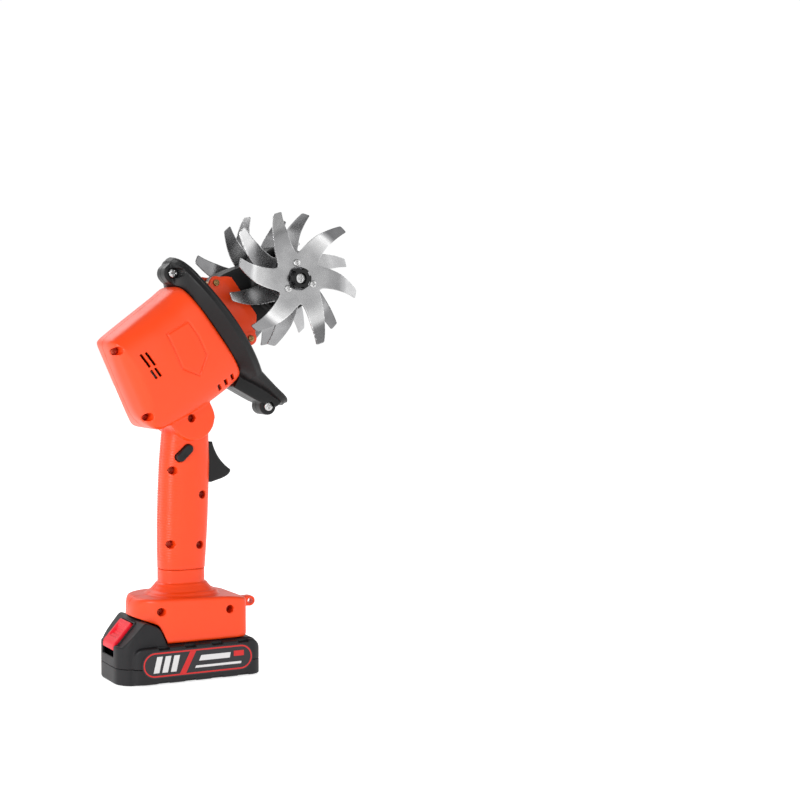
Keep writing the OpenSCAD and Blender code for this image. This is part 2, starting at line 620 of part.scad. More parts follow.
module cooling_fan() color([0.2, 0.2, 0.2]) at_head() {
    difference() {
        union() {
            rod_x(5, -106.5, -101.5);
            rod_x(13.5, -102.5, -101.5);
            for (i = [0:8]) rotate([i * 40, 0, 0]) translate([-106.5, 4.5, -0.5]) cube([4.2, 9, 1]);
        }
        rod_x(2 + eps, -120, -90);
    }
}
module motor_can() color(steel) at_head() difference() {
    rod_x(motor_r, motor_hx[0], -97);
    rod_x(motor_r - 1.4, motor_hx[0] - 1, -99.2);
    rod_x(4, -110, -90);
    for (i = [0:3]) rotate([45 + i * 90, 0, 0]) translate([-107, 10, -4]) cube([5, 12, 8]);
}
module motor_end_cap() color(black) at_head() difference() {
    union() {
        rod_x(motor_r, -153, motor_hx[0] - eps);
        rod_x(6, -157, -152);
    }
    rod_x(2 + run, -160, -145);
    for (i = [0:3]) rotate([45 + i * 90, 0, 0]) translate([-155, 8, -3]) cube([8, 6, 6]);
}
module magnets() color([0.25, 0.25, 0.27]) at_head() along_x(-140, -108) for (m = [0, 1]) mirror([m, 0])
    intersection() {
        difference() { circle(motor_r - 1.4 - eps); circle(14.7); }
        translate([0, -12]) square([20, 24]);
    }
module brushes() color([0.2, 0.2, 0.2]) at_head() for (s = [-1, 1])
    translate([-147, -2, s > 0 ? 5.1 : -13.1]) cube([4.5, 4, 8]);

// ---------- trigger, switch and lock-off ----------
module trigger_outline() polygon(concat(
    [[19.5, 153], [26, 152.6], [34.8, 155.2]], bow([34.8, 155.2], [41.8, 158], [42.6, 161.6], 4),
    bow([42.6, 162.2], [30.5, 170.5], [26.6, 185.2], 8), [[19.5, 185.4]]));
module trigger() color(black) difference() {
    along_y(-7, 7) trigger_outline();
    translate([18, 0, 166]) rod_x(1.8 + eps, 0, 5);
}
module switch_plunger() color(steel) translate([0, 0, 166]) rod_x(1.8, 3, 22.9);
module trigger_spring() color(steel) translate([9.2, 0, 166]) rotate([0, 90, 0]) coil(2.9, 0.7, 10, 5);
module trigger_switch() color([0.16, 0.16, 0.17]) difference() {
    translate([-4.2, -8, 151]) cube([13.2, 16, 19.3]);
    translate([0, 0, 166]) rod_x(1.8 + run, 2.8 - trigger_travel, 12);
}
module lock_button() color(black) along_y(-19, 19) lock_outline();

// ---------- wiring ----------
lead_low = [[30, 45.8], [30, 47], [24, 51.5], [14, 57], [5, 64], [3, 74], [2, 100], [1, 140], [1, 150.9]];
lead_high = [[8, 170.4], [8.6, 176], [8.6, 186], [2, 192.5], [-4.5, 198], [-6.5, 203], [-13, 207],
             [-26.5, 208.8], [-30.1, 212], [-34, 214.4], [-33.8, 217]];
module motor_leads() color([0.7, 0.1, 0.1]) for (y = [-3, 3]) {
    wire_xz(lead_low, y, lead_r);
    wire_xz(lead_high, y, lead_r);
}
module terminal_block() color([0.15, 0.15, 0.16]) {
    translate([28, -20, 39.6]) cube([14, 40, 6]);
    translate([28, -20, rail_z - 4]) cube([3, 40, 9]);
    for (y = [-12, 12]) translate([12, y - 0.5, 33]) cube([17, 1, 4.4]);
}

// ---------- battery ----------
module at_latch() translate([-49.6, 0, 36.4]) rotate([0, -slope_angle, 0]) children();
module batt_profile() polygon(concat(
    arc(batt_back + 1.5, 1.5, 1.5, 270, 180, 3), [[batt_back, 24.6]], [[-58.6, 26.4], [-40.8, 46.6]],
    [[-37.5, 48.2], [-30, 45.6], [-26.6, 43], [-20.6, batt_h]],
    arc(batt_front - 10, batt_h - 10, 10, 90, 0, 6), arc(batt_front - 1.5, 1.5, 1.5, 0, -90, 3)));
module batt_plan() {
    polygon([[batt_back, -18], [batt_back + 5, -27], [-46, -31], [batt_front - 4, -31], [batt_front, -27],
             [batt_front, 27], [batt_front - 4, 31], [-46, 31], [batt_back + 5, 27], [batt_back, 18]]);
}
module batt_bulge() intersection() {
    along_y(-batt_w / 2, batt_w / 2) round_rect(bulge_x[0], bulge_x[1], 0.6, batt_h - 0.6, 9);
    linear_extrude(height = 40) round_rect(bulge_x[0], bulge_x[1], -batt_w / 2, batt_w / 2, 7);
}
module batt_outer() {
    intersection() {
        along_y(-40, 40) batt_profile();
        linear_extrude(height = 60) batt_plan();
    }
    batt_bulge();
    difference() {      // slide deck with a rail each side
        union() {
            translate([-22, -23.5, 29]) cube([46, 47, rail_z + 3.2 - 29]);
            translate([-22, -26.8, rail_z]) cube([46, 53.6, 3.2]);
        }
        for (y = [-12, 12]) translate([9, y - 1, 27]) cube([20, 2, 15]);
    }
}
module batt_cavity() {
    translate([-49, -28.5, 2]) cube([103, 57, 25.5]);
    translate([-45.4, -33.2, 4]) cube([96.4, 66.4, 22]);
}
module latch_pocket() {
    at_latch() translate([-11.5, -13.4, -6]) cube([23, 26.8, 12]);
    translate([-62, -13.4, 20.4]) cube([8, 26.8, 12]);
}
batt_screw_at = [[-50, -22], [-50, 22], [50, -22], [50, 22]];
module batt_bosses() for (p = batt_screw_at) translate([p[0], p[1], 1]) cylinder(r = 3.2, h = 27.5);
module batt_body() difference() {
    union() {
        difference() { batt_outer(); batt_cavity(); }
        batt_bosses();
    }
    latch_pocket();
    for (y = [-12, 12]) translate([9, y - 1, 27]) cube([20, 2, 15]);
    for (p = batt_screw_at) {
        translate([p[0], p[1], -1]) cylinder(r = 2.7, h = 4);
        translate([p[0], p[1], 0]) cylinder(r = 1.3, h = 22);
    }
    for (x = [-30, -8, 14, 36]) for (y = [-1, 1]) {    // small notches along the bulge's edges
        translate([x, y * 34.6 - 2, batt_h - 2]) cube([9, 4, 5]);
        translate([x, y * 34.6 - 2, -3]) cube([9, 4, 4.6]);
    }
}
parting_z = 13;
module battery_upper() color(black) intersection() {
    batt_body();
    translate([-big, -big, parting_z]) cube(2 * big);
}
module battery_lower() color(black) intersection() {
    batt_body();
    translate([-big, -big, parting_z - 2 * big]) cube(2 * big);
}
module battery_cells() color([0.2, 0.35, 0.6]) for (i = [0:4])
    rod_y(-36 + 18.4 * i, 13.4, 9.1, -32.5, 32.5);
module battery_board() color([0.1, 0.4, 0.2]) translate([-30, -20, 22.7]) cube([76, 40, 1.6]);
module battery_contacts() color(zinc) for (y = [-12, 12], s = [-1, 1])
    translate([10, y + s * 0.75 - 0.2, 24.3]) cube([8, 0.4, 8.9]);
module battery_labels() color([0.12, 0.12, 0.13]) for (s = [-1, 1])
    scale_y(s) along_y(batt_w / 2 + 0.02, batt_w / 2 + 0.4) round_rect(-44, 49, 5.4, 25.2, 9.8);
module battery_screws() color(steel) for (p = batt_screw_at) translate([p[0], p[1], 0.8]) {
    cylinder(r = 2.6, h = 1.6);
    cylinder(r = 1.2, h = 18);
}
module latch_button() color([0.85, 0.06, 0.12]) {
    at_latch() difference() {
        translate([-11, -13, -0.6]) cube([22, 26, 3.2]);
        translate([1, 0, 12]) rotate([90, 0, 0]) cylinder(r = 11, h = 18, center = true);
    }
    // lip that turns down over the battery's back edge
    along_y(-13, 13) polygon([[-59, 29], [-56.7, 32], [-54, 30.2], [-57, 27.4], [-57, 23], [-59, 23]]);
}
module latch_spring() color(steel) at_latch() translate([0, 0, -5.9]) coil(3, 0.7, 5.2, 3);

housing_right();
housing_left();
housing_screws();
foot_right();
foot_left();
foot_screws();
guard_right();
guard_left();
guard_screws();
nose_screws();
gear_case_right();
gear_case_left();
gear_case_screws();
tine_shaft();
crown_gear();
shaft_bearing_right();
shaft_bearing_left();
shaft_seals();
hub_right();
hub_left();
disc_right_outer();
disc_right_inner();
disc_left_inner();
disc_left_outer();
disc_screws();
hub_caps();
shaft_end_screws();
drive_shaft();
pinion_bearings();
planet_gear_1();
planet_gear_2();
planet_gear_3();
ring_gear();
gearbox_plate();
sun_gear();
motor_shaft();
armature();
commutator();
cooling_fan();
motor_can();
motor_end_cap();
magnets();
brushes();
trigger();
switch_plunger();
trigger_spring();
trigger_switch();
lock_button();
motor_leads();
terminal_block();
battery_upper();
battery_lower();
battery_cells();
battery_board();
battery_contacts();
battery_labels();
battery_screws();
latch_button();
latch_spring();
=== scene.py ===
"""Looks of a cordless hand cultivator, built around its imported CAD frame.

Visible pieces are written as distance fields in millimetres (negative inside) and meshed here, so that
their blends, roundings and recesses are real geometry. Label prints and springs are bmesh work.
x runs forwards to the tines, z up, y to the tool's left; (hx, hz) are the tilted head's own directions.
"""

import json
import math

import bmesh
import bpy
import numpy as np
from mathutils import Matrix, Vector


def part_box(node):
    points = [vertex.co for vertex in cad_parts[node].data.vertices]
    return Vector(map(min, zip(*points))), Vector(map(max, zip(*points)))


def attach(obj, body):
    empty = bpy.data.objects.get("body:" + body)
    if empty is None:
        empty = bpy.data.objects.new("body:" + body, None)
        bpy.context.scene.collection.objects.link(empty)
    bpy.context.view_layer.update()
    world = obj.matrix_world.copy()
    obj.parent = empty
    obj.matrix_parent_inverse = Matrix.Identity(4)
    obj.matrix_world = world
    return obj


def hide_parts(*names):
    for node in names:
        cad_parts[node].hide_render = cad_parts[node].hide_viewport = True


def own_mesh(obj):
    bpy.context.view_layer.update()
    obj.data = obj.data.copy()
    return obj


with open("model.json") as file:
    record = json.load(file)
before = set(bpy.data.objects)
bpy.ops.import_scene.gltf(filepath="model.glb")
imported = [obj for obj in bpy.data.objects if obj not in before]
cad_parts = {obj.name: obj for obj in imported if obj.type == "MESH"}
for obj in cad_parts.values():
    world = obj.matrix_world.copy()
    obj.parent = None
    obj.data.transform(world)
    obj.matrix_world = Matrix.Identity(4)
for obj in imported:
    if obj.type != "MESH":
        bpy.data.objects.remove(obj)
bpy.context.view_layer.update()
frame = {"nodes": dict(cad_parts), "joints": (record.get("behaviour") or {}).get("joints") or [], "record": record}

MM = 0.001
STEP = 0.7  # voxel of the moulded shells, mm

# Driving places, read from the frame
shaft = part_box("tine_shaft")
SHAFT_X = (shaft[0].x + shaft[1].x) / 2 / MM
SHAFT_Z = (shaft[0].z + shaft[1].z) / 2 / MM
joints = {j["name"]: j for j in frame["joints"]}
drive_axis = Vector(joints["drive_spin"]["axis"])
TILT = math.atan2(drive_axis.z, drive_axis.x)
GUARD_W = (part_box("guard_left")[1].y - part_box("guard_right")[0].y) / MM
WALL = 2.6  # of housing and foot
SEAM = 0.005  # half the gap between two moulded halves
SHARP = math.radians(35)  # edges sharper than this stay crisp
FAR = 1e3  # stands for empty space in a field

# Meshing a field: blocks near the surface are refined, then vertices are spread and pulled onto it
BLOCK = 6  # voxels along a block of the coarse pass
NEAR = 1.6  # a block this many widths or less from the surface is refined
PULLS, SPREADS = 3, 2  # pulls onto the surface; the first ones follow a spread
PROBE = 0.05  # mm to each side of a vertex, for a field's slope
LEAST_SLOPE = 0.2  # smallest squared slope to divide by
LONGEST_PULL = 0.4  # voxels


# ---------------- distance fields
def head(x, z):
    """Head coordinates of world points."""
    dx, dz = x - SHAFT_X, z - SHAFT_Z
    return dx * math.cos(TILT) + dz * math.sin(TILT), dz * math.cos(TILT) - dx * math.sin(TILT)


def union(a, b, k=0.01):
    """Union of two fields with a fillet of about k."""
    h = np.clip(0.5 + 0.5 * (b - a) / k, 0, 1)
    return b * (1 - h) + a * h - k * h * (1 - h)


def meet(a, b, k=0.01):
    """Intersection of two fields with a rounding of about k."""
    return -union(-a, -b, k)


def cut(a, b, k=0.01):
    """Field a without field b."""
    return meet(a, -b, k)


def ramp(a, b, t):
    """Smooth step from 0 at a to 1 at b."""
    s = np.clip((t - a) / (b - a), 0, 1)
    return s * s * (3 - 2 * s)


def convex(u, v, points, k=0.01):
    """Convex outline given anticlockwise, its corners rounded by about k."""
    field = None
    for (u0, v0), (u1, v1) in zip(points, points[1:] + points[:1]):
        length = math.hypot(u1 - u0, v1 - v0)
        edge = ((u - u0) * (v1 - v0) - (v - v0) * (u1 - u0)) / length
        field = edge if field is None else meet(field, edge, k)
    return field


def outline(u, v, points):
    """Distance to any closed outline."""
    best = np.full(np.shape(u), 1e9)
    inside = np.zeros(np.shape(u), bool)
    for (u0, v0), (u1, v1) in zip(points, points[1:] + points[:1]):
        eu, ev = u1 - u0, v1 - v0
        du, dv = u - u0, v - v0
        t = np.clip((du * eu + dv * ev) / (eu * eu + ev * ev), 0, 1)
        best = np.minimum(best, (du - eu * t) ** 2 + (dv - ev * t) ** 2)
        if ev:
            inside ^= ((v0 > v) != (v1 > v)) & (u < eu * dv / ev + u0)
    return np.where(inside, -1, 1) * np.sqrt(best)


def oval(u, v, a, b, power=2.0):
    """Super-ellipse with half-axes a and b."""
    r = (np.abs(u / a) ** power + np.abs(v / b) ** power) ** (1 / power)
    return (r - 1) * np.minimum(a, b)


def disc(u, v, r):
    """Round of radius r, or a cylinder along the third axis."""
    return np.hypot(u, v) - r


def slab(t, half):
    """Layer of the given half thickness."""
    return np.abs(t) - half


def bow(p, q, s, n=8):
    """Points on a quadratic curve from p to s, pulled towards q."""
    p, q, s = np.array(p), np.array(q), np.array(s)
    t = np.linspace(0, 1, n + 1)[:, None]
    return [tuple(c) for c in (1 - t) ** 2 * p + 2 * t * (1 - t) * q + t * t * s]


# ---------------- meshing a field
def neighbours_mean(points, quads):
    """Mean of each vertex's neighbours along the quads' edges."""
    total, hits = np.zeros_like(points), np.zeros(len(points))
    for i in range(4):
        for here, there in ((quads[:, i], quads[:, i - 1]), (quads[:, i - 1], quads[:, i])):
            hits += np.bincount(here, minlength=len(points))
            for axis in range(3):
                total[:, axis] += np.bincount(here, points[there, axis], len(points))
    return np.where(hits[:, None] > 0, total / np.maximum(hits, 1)[:, None], points)


def surface(field, low, high, step):
    """Vertices (mm) and quads of the closed surface field = 0 inside a box, by surface nets."""
    low, high = np.array(low, float), np.array(high, float)
    corners = np.array([(i, j, k) for i in (0, 1) for j in (0, 1) for k in (0, 1)])
    blocks = np.ceil((high - low) / (step * BLOCK)).astype(int)
    mids = [l + (np.arange(n) + 0.5) * BLOCK * step for l, n in zip(low, blocks)]
    coarse = field(*np.meshgrid(*mids, indexing="ij"))
    near, rough = (np.repeat(np.repeat(np.repeat(g, BLOCK, 0), BLOCK, 1), BLOCK, 2)
                   for g in (np.abs(coarse) < BLOCK * step * NEAR, coarse))
    nodes = np.zeros(blocks * BLOCK + 1, bool)
    values = np.pad(rough, (0, 1), mode="edge")
    a, b, c = near.shape
    for i, j, k in corners:
        nodes[i:a + i, j:b + j, k:c + k] |= near
    at = np.argwhere(nodes)
    values[nodes] = field(*(low + at * step).T)
    inside = values < 0
    count = sum(inside[i:i - 1 or None, j:j - 1 or None, k:k - 1 or None].astype(np.int8)
                for i, j, k in corners)
    active = (count > 0) & (count < len(corners))
    cells = np.argwhere(active)
    index = np.full(active.shape, -1)
    index[active] = np.arange(len(cells))
    total, hits = np.zeros((len(cells), 3)), np.zeros(len(cells))
    for axis in range(3):
        for start in corners[corners[:, axis] == 0]:
            end = start + np.eye(3, dtype=int)[axis]
            va, vb = values[tuple((cells + start).T)], values[tuple((cells + end).T)]
            crossing = (va < 0) != (vb < 0)
            t = va[crossing] / (va[crossing] - vb[crossing])
            total[crossing] += start + t[:, None] * (end - start)
            hits[crossing] += 1
    points = low + (cells + total / hits[:, None]) * step
    quads = []
    for axis in range(3):
        u, v = (axis + 1) % 3, (axis + 2) % 3
        lead = [slice(1, -1)] * 3
        lead[axis] = slice(0, -1)
        tail = [slice(1, -1)] * 3
        tail[axis] = slice(1, None)
        change = inside[tuple(lead)] != inside[tuple(tail)]
        where = np.argwhere(change)
        where[:, [u, v]] += 1
        eu, ev = np.eye(3, dtype=int)[u], np.eye(3, dtype=int)[v]
        ring = np.stack([index[tuple((where - o).T)] for o in (eu * 0, eu, eu + ev, ev)], 1)
        flip = ~inside[tuple(where.T)]
        ring[flip] = ring[flip][:, ::-1]
        quads.append(ring)
    quads = np.concatenate(quads)
    quads = quads[(quads >= 0).all(1)]
    for turn in range(PULLS):
        if turn < SPREADS:
            points += 0.5 * (neighbours_mean(points, quads) - points)
        value = field(*points.T)
        slope = np.stack([(field(*(points + e).T) - field(*(points - e).T)) / (2 * PROBE)
                          for e in np.eye(3) * PROBE], 1)
        move = value[:, None] * slope / np.maximum((slope ** 2).sum(1), LEAST_SLOPE)[:, None]
        points -= np.clip(move, -step * LONGEST_PULL, step * LONGEST_PULL)
    return points, quads


def add_object(name, mesh, material, body, cad, slot):
    """Puts a finished mesh in the scene, riding on a body."""
    mesh.shade_smooth()
    mesh.set_sharp_from_angle(angle=SHARP)
    piece = bpy.data.objects.new(name, mesh)
    bpy.context.scene.collection.objects.link(piece)
    mesh.materials.append(material)
    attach(piece, body)
    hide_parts(*cad)
    return piece


def from_quads(name, points, quads, material, body, cad, slot):
    """A piece from vertices in mm and their quads."""
    mesh = bpy.data.meshes.new(name)
    mesh.from_pydata((points * MM).tolist(), [], quads.tolist())
    mesh.validate()
    mesh.update()
    return add_object(name, mesh, material, body, cad, slot)


def moulded(name, field, low, high, material, body, cad, slot, step=STEP):
    """A moulded piece, meshed from its field in a box given in mm."""
    points, quads = surface(field, low, high, step)
    return from_quads(name, points, quads, material, body, cad, slot)


def from_bmesh(name, bm, material, body, cad, slot):
    """A piece from a bmesh built in mm."""
    bmesh.ops.scale(bm, vec=(MM, MM, MM), verts=bm.verts)
    bmesh.ops.recalc_face_normals(bm, faces=bm.faces)
    mesh = bpy.data.meshes.new(name)
    bm.to_mesh(mesh)
    bm.free()
    return add_object(name, mesh, material, body, cad, slot)


# ---------------- materials
CLOUDS, SMEARS, GRAIN = 38, 120, 2600  # noise scales of plastic: mottling, uneven gloss, eroded grain
STEEL_CLOUDS, MARKS = 55, 900  # noise scales of metal: clouds and drawn marks
STEEL_SPREAD = 0.1  # how far a metal's clouds leave its colour


def node_material(name, rough, metallic=0.0, **sockets):
    """A Principled material with its node tree ready for a procedural colour."""
    material = bpy.data.materials.new(name)
    material.use_nodes = True
    shader = material.node_tree.nodes["Principled BSDF"]
    shader.inputs["Roughness"].default_value = rough
    shader.inputs["Metallic"].default_value = metallic
    for key, value in sockets.items():
        shader.inputs[key.replace("_", " ")].default_value = value
    return material, material.node_tree, shader


def add_node(tree, kind, links=(), **values):
    """A node with its values set; links are (input, source socket) pairs."""
    node = tree.nodes.new(kind)
    for key, value in values.items():
        if hasattr(node, key):
            setattr(node, key, value)
        else:
            node.inputs[key.replace("_", " ")].default_value = value
    for name, source in links:
        tree.links.new(source, node.inputs[name])
    return node


def object_coords(tree, scale=(1, 1, 1)):
    coords = tree.nodes.new("ShaderNodeTexCoord")
    return add_node(tree, "ShaderNodeMapping", [("Vector", coords.outputs["Object"])], Scale=scale)


def noise(tree, where, scale, detail, rough=0.5):
    return add_node(tree, "ShaderNodeTexNoise", [("Vector", where.outputs[0])],
                    Scale=scale, Detail=detail, Roughness=rough)


def colour_ramp(tree, factor, stops):
    node = add_node(tree, "ShaderNodeValToRGB", [("Fac", factor)])
    elements = node.color_ramp.elements
    while len(elements) < len(stops):
        elements.new(0.5)
    for element, (place, colour) in zip(elements, stops):
        element.position = place
        element.color = (*colour, 1)
    return node


def bump(tree, shader, height, strength, distance):
    node = add_node(tree, "ShaderNodeBump", [("Height", height)], Strength=strength, Distance=distance)
    tree.links.new(node.outputs["Normal"], shader.inputs["Normal"])
    return node


def around(colour, spread):
    """A colour darkened and brightened by the same share."""
    return tuple(c * (1 - spread) for c in colour), tuple(min(1, c * (1 + spread)) for c in colour)


def plastic(name, colour, rough, grain, spread=0.05, coat=0.0, specular=0.3):
    """Injection-moulded plastic: faint mottling, spark-eroded grain and uneven gloss."""
    material, tree, shader = node_material(name, rough, Coat_Weight=coat, Coat_Roughness=0.25,
                                           IOR=1.48, Specular_IOR_Level=specular)
    where = object_coords(tree)
    cloud = noise(tree, where, CLOUDS, 4)
    dark, light = around(colour, spread)
    mottle = colour_ramp(tree, cloud.outputs["Fac"], [(0.3, dark), (0.7, light)])
    tree.links.new(mottle.outputs["Color"], shader.inputs["Base Color"])
    gloss = add_node(tree, "ShaderNodeMapRange", [("Value", noise(tree, where, SMEARS, 5).outputs["Fac"])],
                     **{"To Min": rough - 0.05, "To Max": rough + 0.07})
    tree.links.new(gloss.outputs["Result"], shader.inputs["Roughness"])
    speck = noise(tree, where, GRAIN, 2, 0.6)
    bump(tree, shader, speck.outputs["Fac"], grain, 0.0002)
    return material


def steel(name, colour, rough, brushed=0.25, scale=(1, 1, 1)):
    """Metal with drawn or tumbled marks, faint clouds and uneven gloss."""
    material, tree, shader = node_material(name, rough, 1.0)
    where = object_coords(tree, scale)
    cloud = noise(tree, where, STEEL_CLOUDS, 5, 0.6)
    dark, light = around(colour, STEEL_SPREAD)
    tone = colour_ramp(tree, cloud.outputs["Fac"], [(0.3, dark), (0.72, light)])
    tree.links.new(tone.outputs["Color"], shader.inputs["Base Color"])
    marks = noise(tree, where, MARKS, 6, 0.7)
    gloss = add_node(tree, "ShaderNodeMapRange", [("Value", marks.outputs["Fac"])],
                     **{"To Min": rough * 0.7, "To Max": rough * 1.35})
    tree.links.new(gloss.outputs["Result"], shader.inputs["Roughness"])
    bump(tree, shader, marks.outputs["Fac"], brushed, 0.0001)
    return material


def tine_metal_with_painted_reflections():
    """Polished sheet steel whose brightness follows the tone that each disc stores on its vertices, a painted
    reflection: the light and dark of each bent tine are painted into its colour.
    """
    material, tree, shader = node_material("tine_steel", 0.26, 1.0)
    where = object_coords(tree)
    tone = add_node(tree, "ShaderNodeAttribute", attribute_name="tone")
    cloud = noise(tree, where, 70, 5, 0.6)
    drift = add_node(tree, "ShaderNodeMapRange", [("Value", cloud.outputs["Fac"])],
                     **{"To Min": -0.12, "To Max": 0.12})
    total = add_node(tree, "ShaderNodeMath", [(0, tone.outputs["Fac"]), (1, drift.outputs["Result"])])
    # base colour runs from near black to near white by that tone: painted reflection of the room in each bent tine
    shade = colour_ramp(tree, total.outputs["Value"],
                        [(0.0, (0.07, 0.07, 0.073)), (0.5, (0.34, 0.34, 0.345)), (1.0, (0.88, 0.88, 0.88))])
    tree.links.new(shade.outputs["Color"], shader.inputs["Base Color"])
    marks = noise(tree, where, MARKS, 6, 0.7)
    gloss = add_node(tree, "ShaderNodeMapRange", [("Value", marks.outputs["Fac"])],
                     **{"To Min": 0.2, "To Max": 0.36})
    tree.links.new(gloss.outputs["Result"], shader.inputs["Roughness"])
    bump(tree, shader, marks.outputs["Fac"], 0.1, 0.0001)
    return material


orange = plastic("orange_shell", (0.86, 0.056, 0.004), 0.36, grain=0.05, spread=0.035, specular=0.42)
black = plastic("black_shell", (0.006, 0.006, 0.0065), 0.4, grain=0.1, spread=0.2)
black_soft = plastic("black_battery", (0.009, 0.009, 0.0105), 0.46, grain=0.16, spread=0.2)
red = plastic("red_latch", (0.8, 0.004, 0.02), 0.4, grain=0.03)
label_dark = plastic("label_film", (0.014, 0.014, 0.017), 0.3, grain=0.02, coat=0.2)
label_red = plastic("label_print_red", (0.55, 0.02, 0.02), 0.35, grain=0.01)
label_white = plastic("label_print_white", (0.62, 0.62, 0.62), 0.4, grain=0.01, spread=0.02)
rubber = plastic("seal_rubber", (0.01, 0.01, 0.01), 0.7, grain=0.2)
wire_red = plastic("wire_silicone", (0.5, 0.02, 0.02), 0.55, grain=0.05)
cell_blue = plastic("cell_wrap", (0.03, 0.1, 0.38), 0.3, grain=0.02)
board_green = plastic("solder_mask", (0.01, 0.16, 0.05), 0.3, grain=0.05)
tine_steel = tine_metal_with_painted_reflections()
bright = steel("bright_zinc", (0.5, 0.5, 0.5), 0.24, brushed=0.1)
# Housing and foot screws: dark red metal that stands for their shaded orange recesses, painted shade and orange
# bounce light in the colour.
recess_shade_steel = steel("screw_steel_with_painted_recess_shade", (0.42, 0.07, 0.04), 0.42, brushed=0.1)
zinc = steel("yellow_zinc", (0.36, 0.22, 0.09), 0.3, brushed=0.1)
gear_metal = steel("gear_steel", (0.2, 0.2, 0.21), 0.35)
copper = steel("varnished_copper", (0.72, 0.3, 0.12), 0.35, scale=(1, 1, 12))
magnet = plastic("ferrite", (0.05, 0.05, 0.055), 0.6, grain=0.3)

SLOT_MATERIALS = {
    "orange_plastic": orange, "black_plastic": black, "tine_steel": tine_steel, "bright_steel": bright,
    "yellow_zinc": zinc, "gear_steel": gear_metal, "copper": copper, "magnet": magnet, "red_latch": red,
    "label_film": label_dark, "cell_wrap": cell_blue, "circuit_board": board_green,
    "red_wire": wire_red, "seal_rubber": rubber,
}


def dress_cad_nodes():
    """Every CAD node that stays gets the procedural material of its slot."""
    slots = {s["node"]: s["material_slot"] for s in frame["record"]["subparts"]}
    for name, node in frame["nodes"].items():
        node.data.materials.clear()
        node.data.materials.append(SLOT_MATERIALS[slots[name]])


# ---------------- housing
DRUM_SIDE = [(-77, 50.5), (-150, 47.5), (-159.2, 19), (-165.5, -18), (-160, -32), (-104, -43.5), (-77, -41)]
DRUM_BACK = [(-0.5, -9), (4.4, -24.5), (40, -60), (170, -60), (170, 60), (40, 60), (4.4, 24.5), (-0.5, 9)]
BACK_FOOT = (-158.6, 12, math.radians(12.5))  # hx, hz and lean of the back strip
KNUCKLE = (5.5, 205, 17.5, 21.5)  # x, z, radius, half width
CHEEK = [(-7.8, 193.6), (23, 205), (16, 226), (-16, 222), (-21.5, 208.5)]
NOSE = [(-79, -27), (-54, -26), (-48, -24.6), (-45, -19.4), (-35, -9.4), (-35, 28.6), (-46, 35), (-50, 37.3),
        (-62, 33), (-79, 30)]
NOSE_LUGS = [(-50, 32), (-52, -21)]
SCREWS = [(-56.4, 258, 14), (-32.9, 207, 14), (3.5, 205, 16),
          (-9.2, 163.8, 8.5), (14.6, 144, 10), (-11.2, 105.6, 8.5), (12.2, 104.1, 10)]
HEAD_H = 2  # height of a housing screw's head
POST_R, RECESS_R, BORE_R = 4.6, 3.2, 1.55  # screw posts, counterbores, pilot bores
NECK_ROOM = 13.2  # half width of the room for the gear case's neck
GROOVE_HALF, GROOVE_DEEP = 0.45, 0.7  # of the badge outline
TRIGGER_Z, TRIGGER_WIDE, TRIGGER_HIGH = 169, 7.6, 18.2  # middle and half sizes of the trigger's opening
LOCK = (-0.8, 177.5)  # x and z of the lock-off's middle
RIB_STEP = 2.1  # from one grip rib to the next
GRIP = np.array([[80, 1.8, 36.8, 31.4], [85, 1.9, 36.8, 31.4], [100, 2.3, 38.2, 32.4], [120, 3, 39.4, 33],
                 [145, 3.9, 39.6, 33], [170, 4.9, 39, 33], [190, 5.6, 36.5, 33], [210, 6.4, 33, 32]])
BADGE = [(-92.2, 11.6), (-92.2, 24.7), (-111.8, 26.6), (-117.6, -2), (-109.3, -14.4), (-95.3, -5.3)]


def drum(x, y, z):
    """Drum: a boxy oval section, narrowing to an upright strip at the back with a slanted face each side."""
    hx, hz = head(x, z)
    flare = ramp(-96, -78, hx)
    middle = 3.5 + 1.25 * flare
    wide = 33.7 + 0.5 * flare - 5.5 * np.clip((-118 - hx) / 48, 0, 1) ** 1.5
    section = oval(y, hz - middle, wide, 47.2, 2.9)
    fx, fz, lean = BACK_FOOT
    reach = (hx - fx) * math.cos(lean) - (hz - fz) * math.sin(lean)
    back = convex(reach, y, DRUM_BACK, 2.0)
    side = convex(hx, hz, DRUM_SIDE, 6)
    return meet(meet(section, side, 4), back, 1.4)


def grip(x, y, z):
    """Grip: an oval barrel leaning a little forwards, with fine ribs round its back."""
    mid, deep, wide = (np.interp(z, GRIP[:, 0], GRIP[:, i]) for i in (1, 2, 3))
    field = oval(x - mid, y, deep / 2, wide / 2, 2.55)
    wave = 0.12 * np.sin(z * 2 * math.pi / RIB_STEP)
    ribs = wave * ramp(-3, -11, x - mid) * ramp(88, 92, z) * ramp(196, 190, z)
    return field + ribs


def knuckle(x, y, z):
    """Knuckle between grip and drum, with a flat cheek on each side."""
    kx, kz, r, half = KNUCKLE
    profile = union(disc(x - kx, z - kz, r), convex(x, z, CHEEK, 1.5), 2)
    return meet(profile, slab(y, half), 2.0)


def nose(x, y, z):
    """Nose through the guard, with a lug round each of its two screws and a fold along its side."""
    hx, hz = head(x, z)
    profile = outline(hx, hz, NOSE)
    side = np.abs(y) - 15.5 + 1.6 * ramp(-44, -35, hx) + 1.2 * ramp(20, 30, hz) * ramp(-58, -66, hx)
    body = meet(profile, side, 2.2)
    for lx, lz in NOSE_LUGS:
        body = union(body, meet(disc(hx - lx, hz - lz, 5.4), slab(y, 15.5), 1.2), 0.8)
    return body


def housing_outer(x, y, z):
    """Grip, knuckle, drum and nose in one."""
    barrel = meet(meet(grip(x, y, z), 85.12 - z, 0.6), z - 208)
    body = union(barrel, knuckle(x, y, z), 1.6)
    body = union(body, drum(x, y, z), 1.2)
    return union(body, nose(x, y, z), 0.6)


